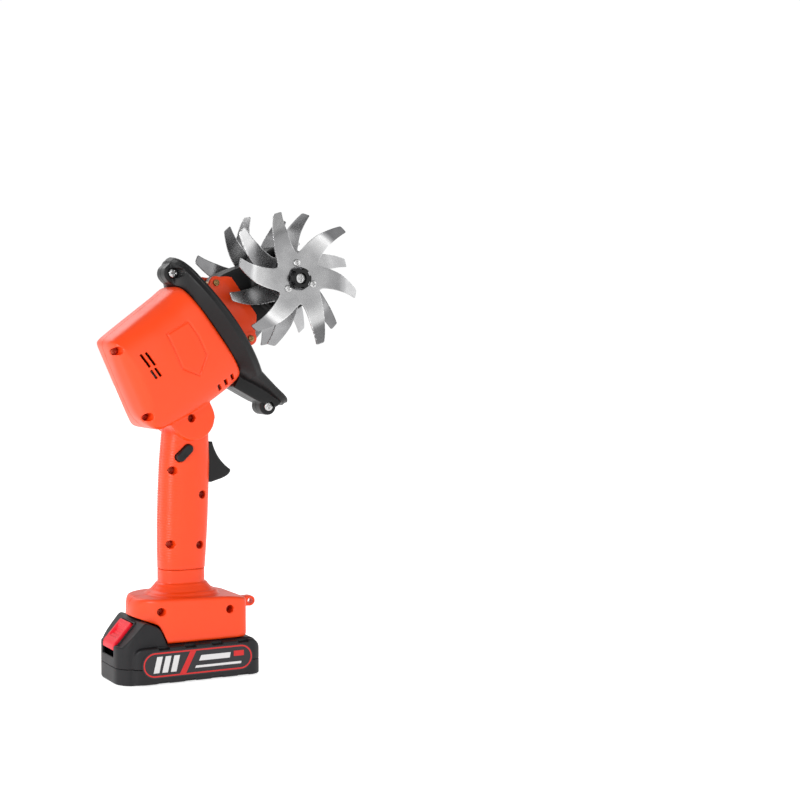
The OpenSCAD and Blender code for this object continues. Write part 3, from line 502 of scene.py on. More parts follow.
def lock_slot(x, z, grow):
    """Obround at 45 degrees, seen along Y."""
    dx, dz = x - LOCK[0], z - LOCK[1]
    u = (dx + dz) * math.sqrt(0.5)
    v = (dz - dx) * math.sqrt(0.5)
    return np.hypot(np.maximum(np.abs(u) - 4.5, 0), v) - 3.5 - grow


def screw_posts(x, z, places, r):
    """Posts along Y round the screws of two halves."""
    posts = np.full(np.shape(x), FAR)
    for sx, sz, _ in places:
        posts = np.minimum(posts, disc(x - sx, z - sz, r))
    return posts


def screw_holes(shell, x, y, z, places):
    """A shell with counterbores from its right side, and pilot bores beyond them."""
    for sx, sz, depth in places:
        reach = np.maximum(disc(x - sx, z - sz, RECESS_R), y + depth - HEAD_H)
        bore = np.maximum(disc(x - sx, z - sz, BORE_R), y - depth + HEAD_H)
        shell = cut(shell, np.minimum(reach, bore), 0.35)
    return shell


def vents(x, y, z):
    """Four slots near the back of the drum's side and three short ones at its lower front edge."""
    hx, hz = head(x, z)
    field = np.full(np.shape(x), FAR)
    for cx, cz, length in ((-138, 20.5, 12), (-133.9, 19.3, 12), (-138.8, 8.1, 8), (-135.2, 7.6, 8)):
        field = np.minimum(field, np.maximum(slab(hx - cx, 1.0), slab(hz - cz, length / 2)))
    for i in range(3):
        field = np.minimum(field, np.maximum(slab(hx + 99.8 - 6.8 * i, 1.3), slab(hz + 33.6, 2.6)))
    return np.maximum(field, 16 - np.abs(y))


def housing(side):
    """One half of the orange housing: side is -1 for the right half and 1 for the left."""
    def field(x, y, z):
        hx, hz = head(x, z)
        outer = housing_outer(x, y, z)
        badge = outline(hx, hz, BADGE)
        lip = np.maximum(slab(badge, GROOVE_HALF), 28 - np.abs(y))
        outer = outer + GROOVE_DEEP * ramp(0.55, -0.1, lip)
        shell = cut(outer, outer + WALL)
        shell = union(shell, np.maximum(screw_posts(x, z, SCREWS, POST_R), outer + 0.8))
        neck = np.maximum(np.maximum(slab(y, NECK_ROOM), slab(hz - 3, 23.3)), -95 - hx)
        shell = cut(shell, neck)
        shell = cut(shell, np.maximum(np.maximum(slab(y, NECK_ROOM), 20 - hz), slab(hx + 43.5, 15)))
        shell = screw_holes(shell, x, y, z, SCREWS)
        opening = np.maximum(np.maximum(slab(y, TRIGGER_WIDE), slab(z - TRIGGER_Z, TRIGGER_HIGH)), 12 - x)
        shell = cut(shell, opening, 0.8)
        shell = cut(shell, lock_slot(x, z, 0.35), 0.6)
        shell = cut(shell, vents(x, y, z), 0.5)
        for lx, lz in NOSE_LUGS:
            shell = cut(shell, np.maximum(disc(hx - lx, hz - lz, 1.6), slab(y, 30)))
        return meet(shell, SEAM - side * y, 0.5)
    name = "housing_right" if side < 0 else "housing_left"
    low = [-76, -36 if side < 0 else -1, 83]
    high = [74, 1 if side < 0 else 36, 330]
    moulded(name + "_shell", field, low, high, orange, "tool", [name], "orange_plastic")


# ---------------- foot
FOOT_SCREWS = [(-24.8, 55.5, 23), (31.2, 53.7, 23)]
FOOT_SIDE = [(-44.5, 30.3), (48, 30.3), (48, 61.5), (38, 63.6), (-26, 65.9), (-38, 65), (-44, 57.5)]
FOOT_POST_R = 4.4
EYE, EYE_R = (60, 54.2), 2.2  # lanyard eye


def foot_outer(x, y, z):
    """Foot with its top plate, collar, neck and lanyard lug."""
    plan = np.where(x < -14, oval(x + 14, y, 28.5, 31), meet(slab(y, 31), x - 48, 10))
    body = meet(convex(x, z, FOOT_SIDE, 2.5), plan, 3)
    plate = meet(oval(x - 2.6, y, 27.6, 24, 2.4), slab(z - 64.5, 3.4), 2.4)
    spread = 3.5 * ramp(73.5, 68, z)
    collar = meet(oval(x - 1.9, y, 20.5 + spread, 17.6 + spread, 2.4), slab(z - 69, 5), 1.6)
    neck = meet(oval(x - 1.8, y, 18.2, 15.6, 2.55), slab(z - 74, 10.86), 0.6)
    body = union(union(union(body, plate, 3), collar, 1.6), neck, 1.2)
    ex, ez = EYE
    lug = union(disc(x - ex, z - ez, 4.2), np.maximum(slab(x - 52.5, 7.5), slab(z - ez, 4.1)), 0.5)
    return union(body, meet(lug, slab(y, 4), 1), 1.2)


def foot(side):
    """One half of the battery foot."""
    def field(x, y, z):
        outer = foot_outer(x, y, z)
        hump = convex(x, z, [(-70, 20), (-20, 20), (-20, 30.6), (-26, 43.9), (-29.5, 46.9), (-42, 50.4),
                             (-70, 60)])
        shell = cut(outer, outer + WALL)
        posts = screw_posts(x, z, FOOT_SCREWS, FOOT_POST_R)
        lug = np.maximum(np.maximum(outer, 45.5 - x), slab(y, 5))
        shell = union(union(shell, np.maximum(posts, outer + 0.8)), np.maximum(lug, slab(z - EYE[1], 5)))
        deck = np.maximum(np.maximum(slab(y, 28), slab(z - 33, 6.3)), x - 45.4)
        rail = np.maximum(np.maximum(slab(np.abs(y) - 28, 3), slab(z - 32.3, 2)), slab(x - 10, 27))
        shell = union(cut(shell, deck), np.maximum(rail, outer + 0.3))
        shell = cut(shell, hump)
        shell = screw_holes(shell, x, y, z, FOOT_SCREWS)
        shell = cut(shell, disc(x - EYE[0], z - EYE[1], EYE_R), 0.4)
        spigot = np.maximum(np.maximum(slab(oval(x - 1.9, y, 15.2, 12.6, 2.2), 0.9), 84 - z), z - 93.5)
        return meet(union(shell, spigot), SEAM - side * y, 0.5)
    name = "foot_right" if side < 0 else "foot_left"
    moulded(name + "_shell", field, [-47, -33 if side < 0 else -1, 28], [65, 1 if side < 0 else 33, 95],
            orange, "tool", [name], "orange_plastic")


# ---------------- guard
def guard_side():
    """Half outline of the rim seen along the head: (y, hz) from the top lug down to the tongue's tip."""
    half = GUARD_W / 2
    return (bow((0, 67), (24, 66), (32, 48)) + bow((32, 48), (half, 28), (half, 2))[1:]
            + bow((half, 2), (half - 1, -24), (27, -46))[1:] + bow((27, -46), (20, -60), (17, -74))[1:]
            + bow((17, -74), (14, -84), (0, -84.5))[1:])


GUARD_LUGS = [(-73, 57.5), (-70, -76)]
TONGUE_TOP, TONGUE_LEAN = -45, 0.277  # hz where the tongue begins, and its slope forwards
WEDGE = [(-86, -44.3), (-79, -60), (-74, -70), (-66, -80), (-60, -80), (-66, -42), (-77, -40)]
CREST = [(-80, 54), (-77, 48), (-66, 48), (-66, 66), (-76, 64)]


def guard(side):
    """One half of the black collar: a flared back, a rim, a dished front and a tongue bent forwards."""
    half = guard_side()
    rim = half + [(-u, v) for u, v in half[-2:0:-1]]

    def field(x, y, z):
        hx, hz = head(x, z)
        hx = hx - TONGUE_LEAN * np.clip(TONGUE_TOP - hz, 0, 60)
        edge = outline(y, hz, rim) - 0.5 * ramp(0.9, 0.3, np.abs(hx + 65))
        seat = oval(y, hz - 4.75, 34.8, 46.4, 2.5)
        t = np.clip((hx + 77) / 8, 0, 1)
        flank = seat * (1 - t) + edge * t
        plate = meet(edge, slab(hx + 66, 3), 2.2)
        cone = meet(meet(flank, -77.4 - hx, 0.5), hx + 68, 0.5)
        outer = union(plate, cone, 0.4)
        solid = outer
        hollow = np.maximum(np.maximum(flank + 3.2, -74.2 - hx), -50 - hz)
        front = np.maximum(np.maximum(edge + 4.2, -67.2 - hx), -52 - hz)
        outer = cut(outer, np.minimum(hollow, front), 1.2)
        raw_x, raw_z = head(x, z)
        outer = union(outer, meet(convex(raw_x, raw_z, WEDGE, 1.5), slab(y, 13), 1.8), 1.2)
        outer = union(outer, meet(convex(raw_x, raw_z, CREST, 1.5), slab(y, 9), 1.8), 1.6)
        for lx, lz in GUARD_LUGS:
            boss = meet(disc(raw_x - lx, raw_z - lz, 7), slab(y, 9), 1.2)
            wall = np.maximum(np.maximum(disc(raw_x - lx, raw_z - lz, 6), slab(y + 15, 9)), solid)
            outer = union(union(outer, wall, 0.6), boss, 1.0)
        hole = np.maximum(slab(y, 15.9), slab(raw_z - 3, 31.4))
        outer = cut(outer, hole, 0.3)
        for lx, lz in GUARD_LUGS:
            sink = np.maximum(disc(raw_x - lx, raw_z - lz, 4), y + 8.9)
            bore = np.maximum(disc(raw_x - lx, raw_z - lz, 1.8), y - 7)
            outer = cut(outer, np.minimum(sink, bore), 0.4)
        drum_room = np.maximum(drum(x, y, z) - 0.25, raw_x + 77.1)
        return meet(cut(outer, drum_room), SEAM - side * y, 0.5)
    name = "guard_right" if side < 0 else "guard_left"
    moulded(name + "_shell", field, [-26, -47 if side < 0 else -1, 204], [92, 1 if side < 0 else 47, 336],
            black, "tool", [name], "black_plastic")


# ---------------- gear case
NECK = [(-58, -20), (-34, -20), (-12, -24), (0, 0), (-12, 25), (-28, 31), (-44, 34), (-52, 32), (-58, 26)]


def gear_case(side):
    """One half of the black gear case: a drum round the tine shaft and a neck into the nose."""
    def field(x, y, z):
        hx, hz = head(x, z)
        case = meet(disc(hx, hz, 27), slab(y, 15), 2.2)
        rim = meet(slab(disc(hx, hz, 24.6), 1.6), slab(y, 15.6), 0.8)
        neck = meet(convex(hx, hz, NECK, 2), slab(y, 13), 1.5)
        boss = meet(disc(hx, hz, 12), slab(y, 17.2), 1.2)
        body = union(union(union(case, neck, 2.5), rim, 0.5), boss, 1)
        room = np.maximum(disc(hx, hz, 20.5), slab(y + 1.9, 7.9))
        for r, middle, half in ((8.0, 0, 30), (9.1, -1.5, 12.8)):  # shaft and seals, bearings
            room = np.minimum(room, np.maximum(disc(hx, hz, r), slab(y - middle, half)))
        for r, middle, half in ((8.1, -56, 4), (8.1, -31, 3), (5.1, -32, 22)):  # pinion bearings, pinion
            room = np.minimum(room, np.maximum(disc(y, hz, r), slab(hx - middle, half)))
        body = cut(body, room)
        for angle in (-60, 0, 60):
            a = math.radians(angle)
            body = cut(body, disc(hx - 23.7 * math.cos(a), hz - 23.7 * math.sin(a), 1.3))
        return meet(body, SEAM - side * y, 0.5)
    name = "gear_case_right" if side < 0 else "gear_case_left"
    moulded(name + "_shell", field, [24, -18 if side < 0 else -1, 262], [116, 1 if side < 0 else 18, 345],
            black, "tool", [name], "black_plastic")


# ---------------- battery
PARTING = 13  # height of the joint between its two mouldings
BATT_WALL = 2
BATT_BACK, BATT_FRONT = -59.5, 57.5
BATT_SCREW = (50, 22)  # x and y of its four screws
LATCH = (-49.6, 36.4, math.radians(48.6))


def latch_frame(x, z):
    """Coordinates along and out of the sloping latch face."""
    lx, lz, a = LATCH
    dx, dz = x - lx, z - lz
    return dx * math.cos(a) + dz * math.sin(a), dz * math.cos(a) - dx * math.sin(a)


def battery_outer(x, y, z):
    """Battery block with its latch hump, bulging sides and edge notches."""
    back, front = BATT_BACK, BATT_FRONT
    profile = convex(x, z, [(back, 0), (front, 0), (front, 22.5), (50.5, 30), (back, 30)], 2.0)
    hump = convex(x, z, [(back, 0), (-12, 0), (-20.8, 30.2), (-26.8, 43), (-31, 45.8), (-39, 48.4),
                         (-58.8, 26.0), (back, 23.5)], 2.2)
    plan = convex(x, y, [(back, -17.7), (-54, -27.5), (-46, -31), (53, -31), (front, -27), (front, 27),
                         (53, 31), (-46, 31), (-54, 27.5), (back, 17.7)], 2.5)
    block = meet(union(profile, hump), plan, 1.6)
    ends = convex(x, y, [(-50, -30), (-44, -36), (52, -36), (57, -30.5), (57, 30.5), (52, 36), (-44, 36),
                         (-50, 30)], 4)
    bulge = meet(meet(ends, slab(z - 15, 14.6), 2.0), slab(x - 3.6, 53.4), 2)
    corner = convex(x, z, [(-50.5, 0.4), (57.4, 0.4), (57.4, 22), (50, 29.6), (-44, 29.6), (-50.5, 23)], 3)
    body = union(block, meet(bulge, corner, 1.5), 0.8)
    for cx in (-30, -8, 14, 36):
        for cz in (29.6, 0.4):
            notch = np.maximum(np.maximum(slab(x - cx - 4.5, 4.5), slab(z - cz, 2.4)), 31.8 - np.abs(y))
            body = cut(body, notch, 0.5)
    return body


def battery_deck(x, y, z):
    """Neck and rail that slide into the foot, with the slots of the contacts."""
    neck = np.maximum(np.maximum(slab(y, 23.5), slab(z - 33, 5.2)), slab(x - 1, 23))
    rail = np.maximum(np.maximum(slab(y, 26.8), slab(z - 36.6, 1.6)), slab(x - 1, 23))
    slots = np.maximum(np.maximum(slab(np.abs(y) - 12, 0.9), slab(z - 36, 6)), slab(x - 19, 10))
    return cut(np.minimum(neck, rail), slots)


def battery_shell(upper):
    """Upper or lower moulding of the battery, parted along its waist."""
    def field(x, y, z):
        outer = battery_outer(x, y, z)
        shell = cut(outer, outer + BATT_WALL)
        u, w = latch_frame(x, z)
        pocket = meet(slab(u, 11.7), slab(y, 13.6), 1)
        frame_lip = meet(meet(slab(u, 13.4), slab(y, 15.4), 2), slab(w - 0.2, 0.9), 0.5)
        well = np.maximum(meet(slab(u, 13.2), slab(y, 15.2), 1), slab(w + 3.4, 3.2))
        shell = union(shell, np.maximum(well, outer + 0.2))
        shell = union(shell, np.maximum(frame_lip, outer - 0.9), 0.3)
        shell = cut(shell, np.maximum(pocket, -6 - w), 0.4)
        shell = cut(shell, np.maximum(np.maximum(slab(y, 13.4), slab(z - 26.4, 6)), x + 54), 0.4)
        if upper:
            shell = union(shell, battery_deck(x, y, z), 0.4)
        sx, sy = BATT_SCREW
        for cx in (-sx, sx):
            r = np.hypot(x - cx, np.abs(y) - sy)
            shell = union(shell, np.maximum(np.maximum(r - 3.2, outer + 0.4), z - 27.5))
            shell = cut(shell, np.minimum(np.maximum(r - 2.8, z - 3), np.maximum(r - 1.3, z - 22)))
        part = PARTING + 0.05 - z if upper else z - PARTING + 0.05
        return meet(shell, part, 0.5)
    name = "battery_upper" if upper else "battery_lower"
    low, high = [-61, -37.5, 12 if upper else -1], [59, 37.5, 51 if upper else 14]
    moulded(name + "_shell", field, low, high, black_soft, "battery", [name], "black_plastic")


def springs():
    """Return springs under the trigger and the latch."""
    lx, lz, a = LATCH
    out = np.array([-math.sin(a), 0, math.cos(a)])
    forwards, grip_seat = np.array([1, 0, 0]), np.array([9.2, 0, 166])
    pocket_seat = np.array([lx, 0, lz]) - 5.9 * out
    wire, steps, sides = 0.35, 24, 8  # wire radius, steps per turn, sides of the wire
    for name, body, foot_at, axis, radius, height, turns, joint, travel in (
            ("trigger_spring", "tool", grip_seat, forwards, 2.9, 10, 5, "trigger_pull", 6),
            ("latch_spring", "battery", pocket_seat, out, 3, 5.2, 3, "latch_press", 3)):
        across = np.array([[0, 1, 0], np.cross(axis, [0, 1, 0])])
        bm = bmesh.new()
        last = None
        for i in range(turns * steps + 1):
            angle = 2 * math.pi * i / steps
            rise = wire + (height - 2 * wire) * i / (turns * steps)
            ring = []
            for k in range(sides):
                b = 2 * math.pi * k / sides
                flat = np.array([math.cos(angle), math.sin(angle)]) @ across
                ring.append(bm.verts.new(foot_at + (radius + wire * math.cos(b)) * flat
                                         + (rise + wire * math.sin(b)) * axis))
            if last:
                for k in range(sides):
                    bm.faces.new((last[k], last[k - 1], ring[k - 1], ring[k]))
            else:
                bm.faces.new(ring)
            last = ring
        bm.faces.new(last)
        coil = from_bmesh(name + "_coil", bm, bright, body, [name], "bright_steel")
        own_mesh(coil)
        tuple(axis)


def latch_button():
    """Red latch: a rounded pad with a finger scoop, low ridges across it and a lip at its foot."""
    def field(x, y, z):
        u, w = latch_frame(x, z)
        pad = meet(meet(slab(u, 11), slab(y, 13), 2.2), meet(w - 2.8, -0.6 - w), 0.8)
        scoop = disc(u - 0.5, w - 12.2, 11)
        pad = cut(pad, meet(scoop, slab(y, 9), 1.5), 0.8)
        lip = convex(x, z, [(-59, 23), (-57, 23), (-57, 27.4), (-54, 30.2), (-56.7, 32), (-59, 29)], 0.5)
        pad = union(pad, meet(lip, slab(y, 13), 1), 0.8)
        ridges = 0.25 * np.cos(u * 2 * math.pi / 2.6) * ramp(1.2, 0.2, np.abs(scoop))
        return pad - ridges * ramp(8.4, 7, np.abs(y))
    moulded("latch_pad", field, [-62, -14, 24], [-38, 14, 50], red, "latch", ["latch_button"],
            "red_latch", step=min(STEP, 0.5))


# ---------------- trigger and lock-off
TRIGGER = ([(19.6, 152.8), (26, 152.6), (34.8, 155.2)]
           + bow((34.8, 155.2), (41.8, 157.6), (42.5, 161.4), 5)[1:]
           + bow((42.4, 162.4), (30.5, 170.5), (26.8, 185.2), 10) + [(19.6, 185.4)])


def trigger():
    """Trigger blade with a shallow hollow for the finger and a seat for its spring."""
    def field(x, y, z):
        blade = outline(x, z, TRIGGER)
        hollow = 0.8 * ramp(5.5, 0, np.abs(y)) * ramp(24, 28, x)
        body = meet(blade + hollow, slab(y, 7), 2.4)
        return cut(body, np.maximum(disc(y, z - 166, 1.85), x - 23))
    moulded("trigger_blade", field, [18, -8, 150], [44, 8, 188], black, "trigger", ["trigger"],
            "black_plastic", step=min(STEP, 0.6))


def lock_button():
    """Lock-off bar through the grip, dimpled at both ends."""
    def field(x, y, z):
        bar = meet(lock_slot(x, z, -0.05), slab(y, 19), 1.0)
        dimple = disc(np.hypot(x - LOCK[0], z - LOCK[1]), np.abs(y) - 27.5, 9.2)
        return cut(bar, dimple, 0.4)
    moulded("lock_bar", field, [-10, -20, 168], [9, 20, 187], black, "lock", ["lock_button"],
            "black_plastic", step=min(STEP, 0.5))


# ---------------- tine discs
TINE_R, CREASE_R, SHEET = 55, 37.4, 1.6  # tip, bend, thickness
ROOT_R, RING_R, SHAFT_R = 14, 19, 9.1  # tine's root, ring round the hub, bore
TINES, TINE_TURN = 6, math.pi / 3  # tines of a disc, or notches of a cap, and the angle between two
RING_PAINTED_REFLECTION = 0.54  # painted reflection tone of a disc's middle
BEND = 4  # half the length of a tine's rounded bend
SWEEP = math.radians(20)  # how far a tip trails its root
SCREW_ANGLES = (100, 220, 340)
SCREW_R = 12.5
# y, first angle, bends of even and odd tines, and each tine's painted reflection tone, its light or dark, before
# and after its bend
DISCS = {
    "disc_right_outer": (-43.2, 47, (-18, 18), [(0.85, 0.14), (0.44, 0.8), (0.75, 0.45), (0.85, 0.3),
                                                (0.8, 0.42), (0.4, 0.62)]),
    "disc_right_inner": (-22, 15, (8, -20), [(0.62, 0.52), (0.55, 0.25), (0.5, 0.8), (0.4, 0.48), (0.5, 0.42),
                                             (0.5, 0.26)]),
    "disc_left_inner": (22, 10, (-8, 20), [(0.65, 0.7), (0.5, 0.4), (0.6, 0.22), (0.45, 0.35), (0.5, 0.4),
                                           (0.5, 0.55)]),
    "disc_left_outer": (43.2, 40, (18, -18), [(0.6, 0.45), (0.6, 0.8), (0.3, 0.2), (0.5, 0.36), (0.46, 0.34),
                                              (0.5, 0.4)]),
}


def around_shaft(x, z):
    """Radius and angle about the tine shaft."""
    return np.hypot(x - SHAFT_X, z - SHAFT_Z), np.arctan2(z - SHAFT_Z, x - SHAFT_X)


def tine_of(r, angle, first):
    """Number of the nearest tine and the angle off its curved centre line."""
    axis = math.radians(first) + SWEEP - SWEEP * (r - ROOT_R) / (TINE_R - ROOT_R)
    turn = (angle - axis) / TINE_TURN
    number = np.round(turn)
    return number.astype(int) % TINES, (turn - number) * TINE_TURN


def star_disc(name, y0, first, bends, painted_reflection_tones):
    """Star disc: rounded valleys, and tines bent alternately outwards and inwards."""
    crease_axis = math.radians(first) + SWEEP - SWEEP * (CREASE_R - ROOT_R) / (TINE_R - ROOT_R)
    tangents = np.tan(np.radians(np.array([bends[i % 2] for i in range(TINES)])))

    def field(x, y, z):
        r, angle = around_shaft(x, z)
        number, off = tine_of(r, angle, first)
        slope = tangents[number]
        along = r * np.cos(angle - crease_axis - number * TINE_TURN)
        past = along - CREASE_R
        lift = slope * np.where(past > BEND, past, np.clip(past + BEND, 0, None) ** 2 / (4 * BEND))
        true_r = r + np.maximum(past, 0) * (np.sqrt(1 + slope ** 2) - 1)
        half = np.interp(true_r, [ROOT_R, CREASE_R, TINE_R], [9.8, 6.8, 3.5])
        tine = meet(np.abs(r * np.sin(off)) - half, true_r - TINE_R, 1.2)
        plan = union(r - RING_R, tine, 5)
        plan = cut(plan, r - SHAFT_R, 0.3)
        for a in SCREW_ANGLES:
            sx, sz = SCREW_R * math.cos(math.radians(a)), SCREW_R * math.sin(math.radians(a))
            plan = cut(plan, disc(x - SHAFT_X - sx, z - SHAFT_Z - sz, 1.6))
        leaf = slab(y - y0 - lift, SHEET / 2) / np.sqrt(1 + slope ** 2 * (past > 0))
        return meet(plan, leaf, 0.35)
    reach = TINE_R + 1.5
    low = [SHAFT_X - reach, y0 - 8, SHAFT_Z - reach]
    high = [SHAFT_X + reach, y0 + 8, SHAFT_Z + reach]
    piece = moulded(name + "_sheet", field, low, high, tine_steel, "tines", [name], "tine_steel",
                    step=0.5)
    # Painted reflection: each vertex stores the light or dark tone that its tine's bent face would reflect, before
    # and after the bend, for the steel's colour.
    points = np.empty(len(piece.data.vertices) * 3)
    piece.data.vertices.foreach_get("co", points)
    points = points.reshape(-1, 3) / MM
    r, angle = around_shaft(points[:, 0], points[:, 2])
    number, _ = tine_of(r, angle, first)
    middle, tip = np.array(painted_reflection_tones)[number].T
    part = np.clip((r - RING_R) / (TINE_R - RING_R), 0, 1)
    before = RING_PAINTED_REFLECTION + (middle - RING_PAINTED_REFLECTION) * ramp(0.05, 0.5, part)
    tone = before + (tip - before) * ramp(0.52, 0.7, part)
    store = piece.data.attributes.new("tone", "FLOAT", "POINT")
    store.data.foreach_set("value", tone.astype(np.float32))


# ---------------- screws and caps
def pan_screw(px, pz, y0, y1, head_r, head_h, shank_r):
    """Points and quads of one screw along Y: a crowned, cross-recessed head at y0 and a shank to y1."""
    way = 1 if y1 > y0 else -1
    length = abs(y1 - y0)

    def field(x, y, z):
        r = np.hypot(x - px, z - pz)
        deep = way * (y - y0)
        crown = meet(r - head_r, meet(-deep + 0.35 * (r / head_r) ** 2 * head_h, deep - head_h), 0.4)
        bolt = np.maximum(r - shank_r, slab(deep - length / 2, length / 2))
        body = np.minimum(crown, bolt)
        u, v = np.abs(x - px), np.abs(z - pz)
        reach = head_r * 0.62 - 0.25 * deep
        slot_half = 0.16 * head_r
        cross = np.minimum(np.maximum(u - slot_half, v - reach), np.maximum(v - slot_half, u - reach))
        return cut(body, np.maximum(cross, deep - 0.62 * head_h), 0.08)
    margin = head_r + 0.5
    low = [px - margin, min(y0, y1) - 0.6, pz - margin]
    high = [px + margin, max(y0, y1) + 0.6, pz + margin]
    return surface(field, low, high, 0.26)


def screws(name, places, material, body, slot):
    """All screws of one CAD node as one piece."""
    points, quads, start = [], [], 0
    for place in places:
        p, q = pan_screw(*place)
        points.append(p)
        quads.append(q + start)
        start += len(p)
    from_quads(name + "_pan", np.concatenate(points), np.concatenate(quads), material, body, [name], slot)


def world_point(hx, hz):
    """World x and z of a point in head coordinates."""
    return (SHAFT_X + hx * math.cos(TILT) - hz * math.sin(TILT),
            SHAFT_Z + hx * math.sin(TILT) + hz * math.cos(TILT))


def all_screws():
    """Every visible screw: x, z, head and tip along y, head radius and height, shank radius."""
    for name, places in (("housing_screws", SCREWS), ("foot_screws", FOOT_SCREWS)):
        rows = [(x, z, -d, d - 3, 2.9, HEAD_H, 1.5) for x, z, d in places]
        # the dark red screw colour is painted recess shade with orange bounce light
        screws(name, rows, recess_shade_steel, "tool", "bright_steel")
    rows = [(*world_point(*p), -11.2, 6.5, 3.6, 2.2, 1.75) for p in GUARD_LUGS]
    screws("guard_screws", rows, bright, "tool", "bright_steel")
    rows = [(*world_point(*p), -17.5, 13.5, 2.6, 2, 1.5) for p in NOSE_LUGS]
    screws("nose_screws", rows, zinc, "tool", "yellow_zinc")
    ring = [(SHAFT_X + SCREW_R * math.cos(math.radians(a)), SHAFT_Z + SCREW_R * math.sin(math.radians(a)))
            for a in SCREW_ANGLES]
    outer = [(x, z, s * 45.8, s * 40, 2.9, 1.8, 1.5) for s in (-1, 1) for x, z in ring]
    inner = [(x, z, s * 19.4, s * 24.8, 2.4, 1.8, 1.5) for s in (-1, 1) for x, z in ring]
    screws("disc_screws", outer + inner, bright, "tines", "bright_steel")
    ends = [(SHAFT_X, SHAFT_Z, s * 47.4, s * 36, 4.2, 1.58, 1.95) for s in (-1, 1)]
    screws("shaft_end_screws", ends, bright, "tines", "bright_steel")


def hub_caps():
    """Castellated cap nut on each end of the tine shaft, with a deep seat for the end screw."""
    for s in (-1, 1):
        def field(x, y, z):
            r, angle = around_shaft(x, z)
            deep = s * y - 44
            turn = (angle - TINE_TURN / 2) / TINE_TURN
            off = (turn - np.round(turn)) * TINE_TURN
            body = meet(r - 8.4, slab(deep - 2.6, 2.6), 0.35)
            notch = np.maximum(np.abs(r * np.sin(off)) - 1.8, 6.7 - r * np.cos(off))
            seat = np.minimum(r - 2.1, np.maximum(r - 5.02, deep - 0.82))
            bore = np.minimum(np.maximum(r - 4.6, 1.8 - deep), seat)
            return cut(cut(body, notch, 0.2), bore, 0.2)
        low = [SHAFT_X - 9, 43 if s > 0 else -50, SHAFT_Z - 9]
        high = [SHAFT_X + 9, 50 if s > 0 else -43, SHAFT_Z + 9]
        moulded("hub_cap_right" if s < 0 else "hub_cap_left", field, low, high, black, "tines", ["hub_caps"],
                "black_plastic", step=0.25)


# ---------------- battery label
FILM, INK = (36.02, 36.3), (36.25, 36.4)  # y of the back and front of film and print
END_STEPS = 14  # along a label's half-round end


def stadium(x0, x1, z0, z1):
    """Outline with half-round ends."""
    r, mid = (z1 - z0) / 2, (z0 + z1) / 2
    turn = [math.pi * (i / END_STEPS - 0.5) for i in range(END_STEPS + 1)]
    return ([(x1 - r + r * math.cos(a), mid + r * math.sin(a)) for a in turn]
            + [(x0 + r - r * math.cos(a), mid - r * math.sin(a)) for a in turn])


def printed(name, outlines, y0, y1, material, slot):
    """Flat shapes given as (x, z) outlines, or as a pair of outlines for a band, between two values of y."""
    bm = bmesh.new()
    for shape in outlines:
        rings = shape if isinstance(shape[0], list) else [shape]
        walls = [[[bm.verts.new((x, y, z)) for x, z in ring] for y in (y0, y1)] for ring in rings]
        for front, back in walls:
            for i in range(len(front)):
                j = (i + 1) % len(front)
                bm.faces.new((front[i], front[j], back[j], back[i]))
        for k in (0, 1):
            if len(walls) == 1:
                bm.faces.new(walls[0][k])
            else:
                a, b = walls[0][k], walls[1][k]
                for i in range(len(a)):
                    j = (i + 1) % len(a)
                    bm.faces.new((a[i], a[j], b[j], b[i]))
    from_bmesh(name, bm, material, "battery", ["battery_labels"], slot)


def labels():
    """Dark film with a red band, a slash, a small block and plain bars; it carries no lettering."""
    band = [stadium(-42.6, 47.4, 6.6, 25.6), stadium(-41.5, 46.3, 7.7, 24.5)]
    slash = [(-13, 7.7), (-8, 7.7), (0.5, 24.5), (-4.5, 24.5)]
    block = [(32, 17.2), (40.5, 17.2), (40.5, 21.4), (32, 21.4)]
    bars = [[(x, 9.8), (x + 4.6, 9.8), (x + 7.6, 22.4), (x + 3, 22.4)] for x in (-34.5, -27.5, -20.5)]
    bars.append([(2.8, 16.4), (28.5, 16.4), (29.3, 20.6), (4.6, 20.6)])
    bars.append([(-0.5, 11), (38, 11), (38.4, 12.8), (0.4, 12.8)])
    for s, side in ((-1, "right"), (1, "left")):
        film, ink = ([s * y for y in depths] for depths in (FILM, INK))
        printed("label_film_" + side, [stadium(-43.6, 48.4, 5.6, 26.6)], *film, label_dark, "label_film")
        printed("label_red_" + side, [band, slash, block], *ink, label_red, "label_film")
        printed("label_white_" + side, bars, *ink, label_white, "label_film")


# ---------------- build
for half_of in (housing, foot, guard, gear_case):
    half_of(-1)
    half_of(1)
battery_shell(True)
battery_shell(False)
latch_button()
trigger()
lock_button()
for disc_name, form in DISCS.items():
    star_disc(disc_name, *form)
all_screws()
hub_caps()
labels()
springs()
dress_cad_nodes()


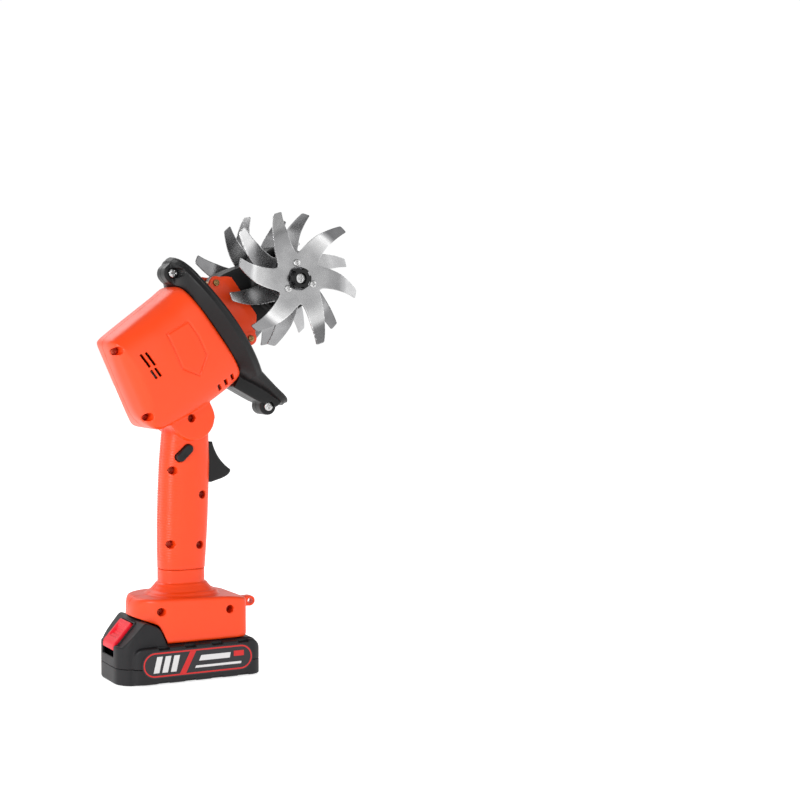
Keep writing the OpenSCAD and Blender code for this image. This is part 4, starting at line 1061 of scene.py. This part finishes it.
# ---------------- studio
def studio():
    """Pale floor, pale surroundings and soft lights."""
    bpy.ops.mesh.primitive_plane_add(size=14, location=(0, 0, -0.0003))
    floor = bpy.context.object
    floor.name = "studio_floor"
    material, _, shader = node_material("floor_paper", 0.9)
    shader.inputs["Base Color"].default_value = (0.9, 0.9, 0.9, 1)
    shader.inputs["Emission Color"].default_value = (1, 1, 1, 1)
    shader.inputs["Emission Strength"].default_value = 0.74
    floor.data.materials.append(material)
    world = bpy.data.worlds.new("studio_air")
    world.use_nodes = True
    air = world.node_tree
    way = air.nodes.new("ShaderNodeTexCoord")
    axes = add_node(air, "ShaderNodeSeparateXYZ", [("Vector", way.outputs["Generated"])])
    sky = colour_ramp(air, axes.outputs["Z"], [(0.0, (1, 1, 1)), (0.3, (1, 1, 1)), (0.42, (0.3, 0.3, 0.3)),
                                               (0.8, (0.36, 0.36, 0.36)), (0.97, (0.7, 0.7, 0.7))])
    air.links.new(sky.outputs["Color"], air.nodes["Background"].inputs["Color"])
    wall = add_node(air, "ShaderNodeMapRange", [("Value", axes.outputs["Y"])],
                    **{"From Min": 0.1, "From Max": 0.55, "To Min": 0.92, "To Max": 1.02})
    air.links.new(wall.outputs["Result"], air.nodes["Background"].inputs["Strength"])
    bpy.context.scene.world = world
    middle = Vector((0, 0, 0.18))
    # name, place, size in metres, watts
    for name, place, size, power in (("key_light", (-1.6, -0.75, 0.6), 0.45, 13),
                                     ("front_light", (-0.2, -1.9, 0.8), 1.2, 4),
                                     ("fill_light", (1.7, -1.0, 0.9), 1.2, 6),
                                     ("back_light", (-0.4, 1.6, 1.4), 1.0, 8)):
        data = bpy.data.lights.new(name, "AREA")
        data.size = size
        data.energy = power
        light = bpy.data.objects.new(name, data)
        light.location = place
        light.rotation_mode = "QUATERNION"
        light.rotation_quaternion = (middle - Vector(place)).to_track_quat("-Z", "Y")
        bpy.context.scene.collection.objects.link(light)


def camera():
    """The viewpoint: 1.29 m away, behind the tool's right side and a little above its middle."""
    data = bpy.data.cameras.new("camera")
    data.sensor_width = 36
    data.lens = 72.53
    cam = bpy.data.objects.new("camera", data)
    cam.location = (-0.4522, -1.2092, 0.2709)
    cam.rotation_euler = (math.radians(90 - 2.34), 0, math.radians(-28.36))
    bpy.context.scene.collection.objects.link(cam)
    bpy.context.scene.camera = cam


studio()
camera()
bpy.context.scene.view_settings.view_transform = "Standard"
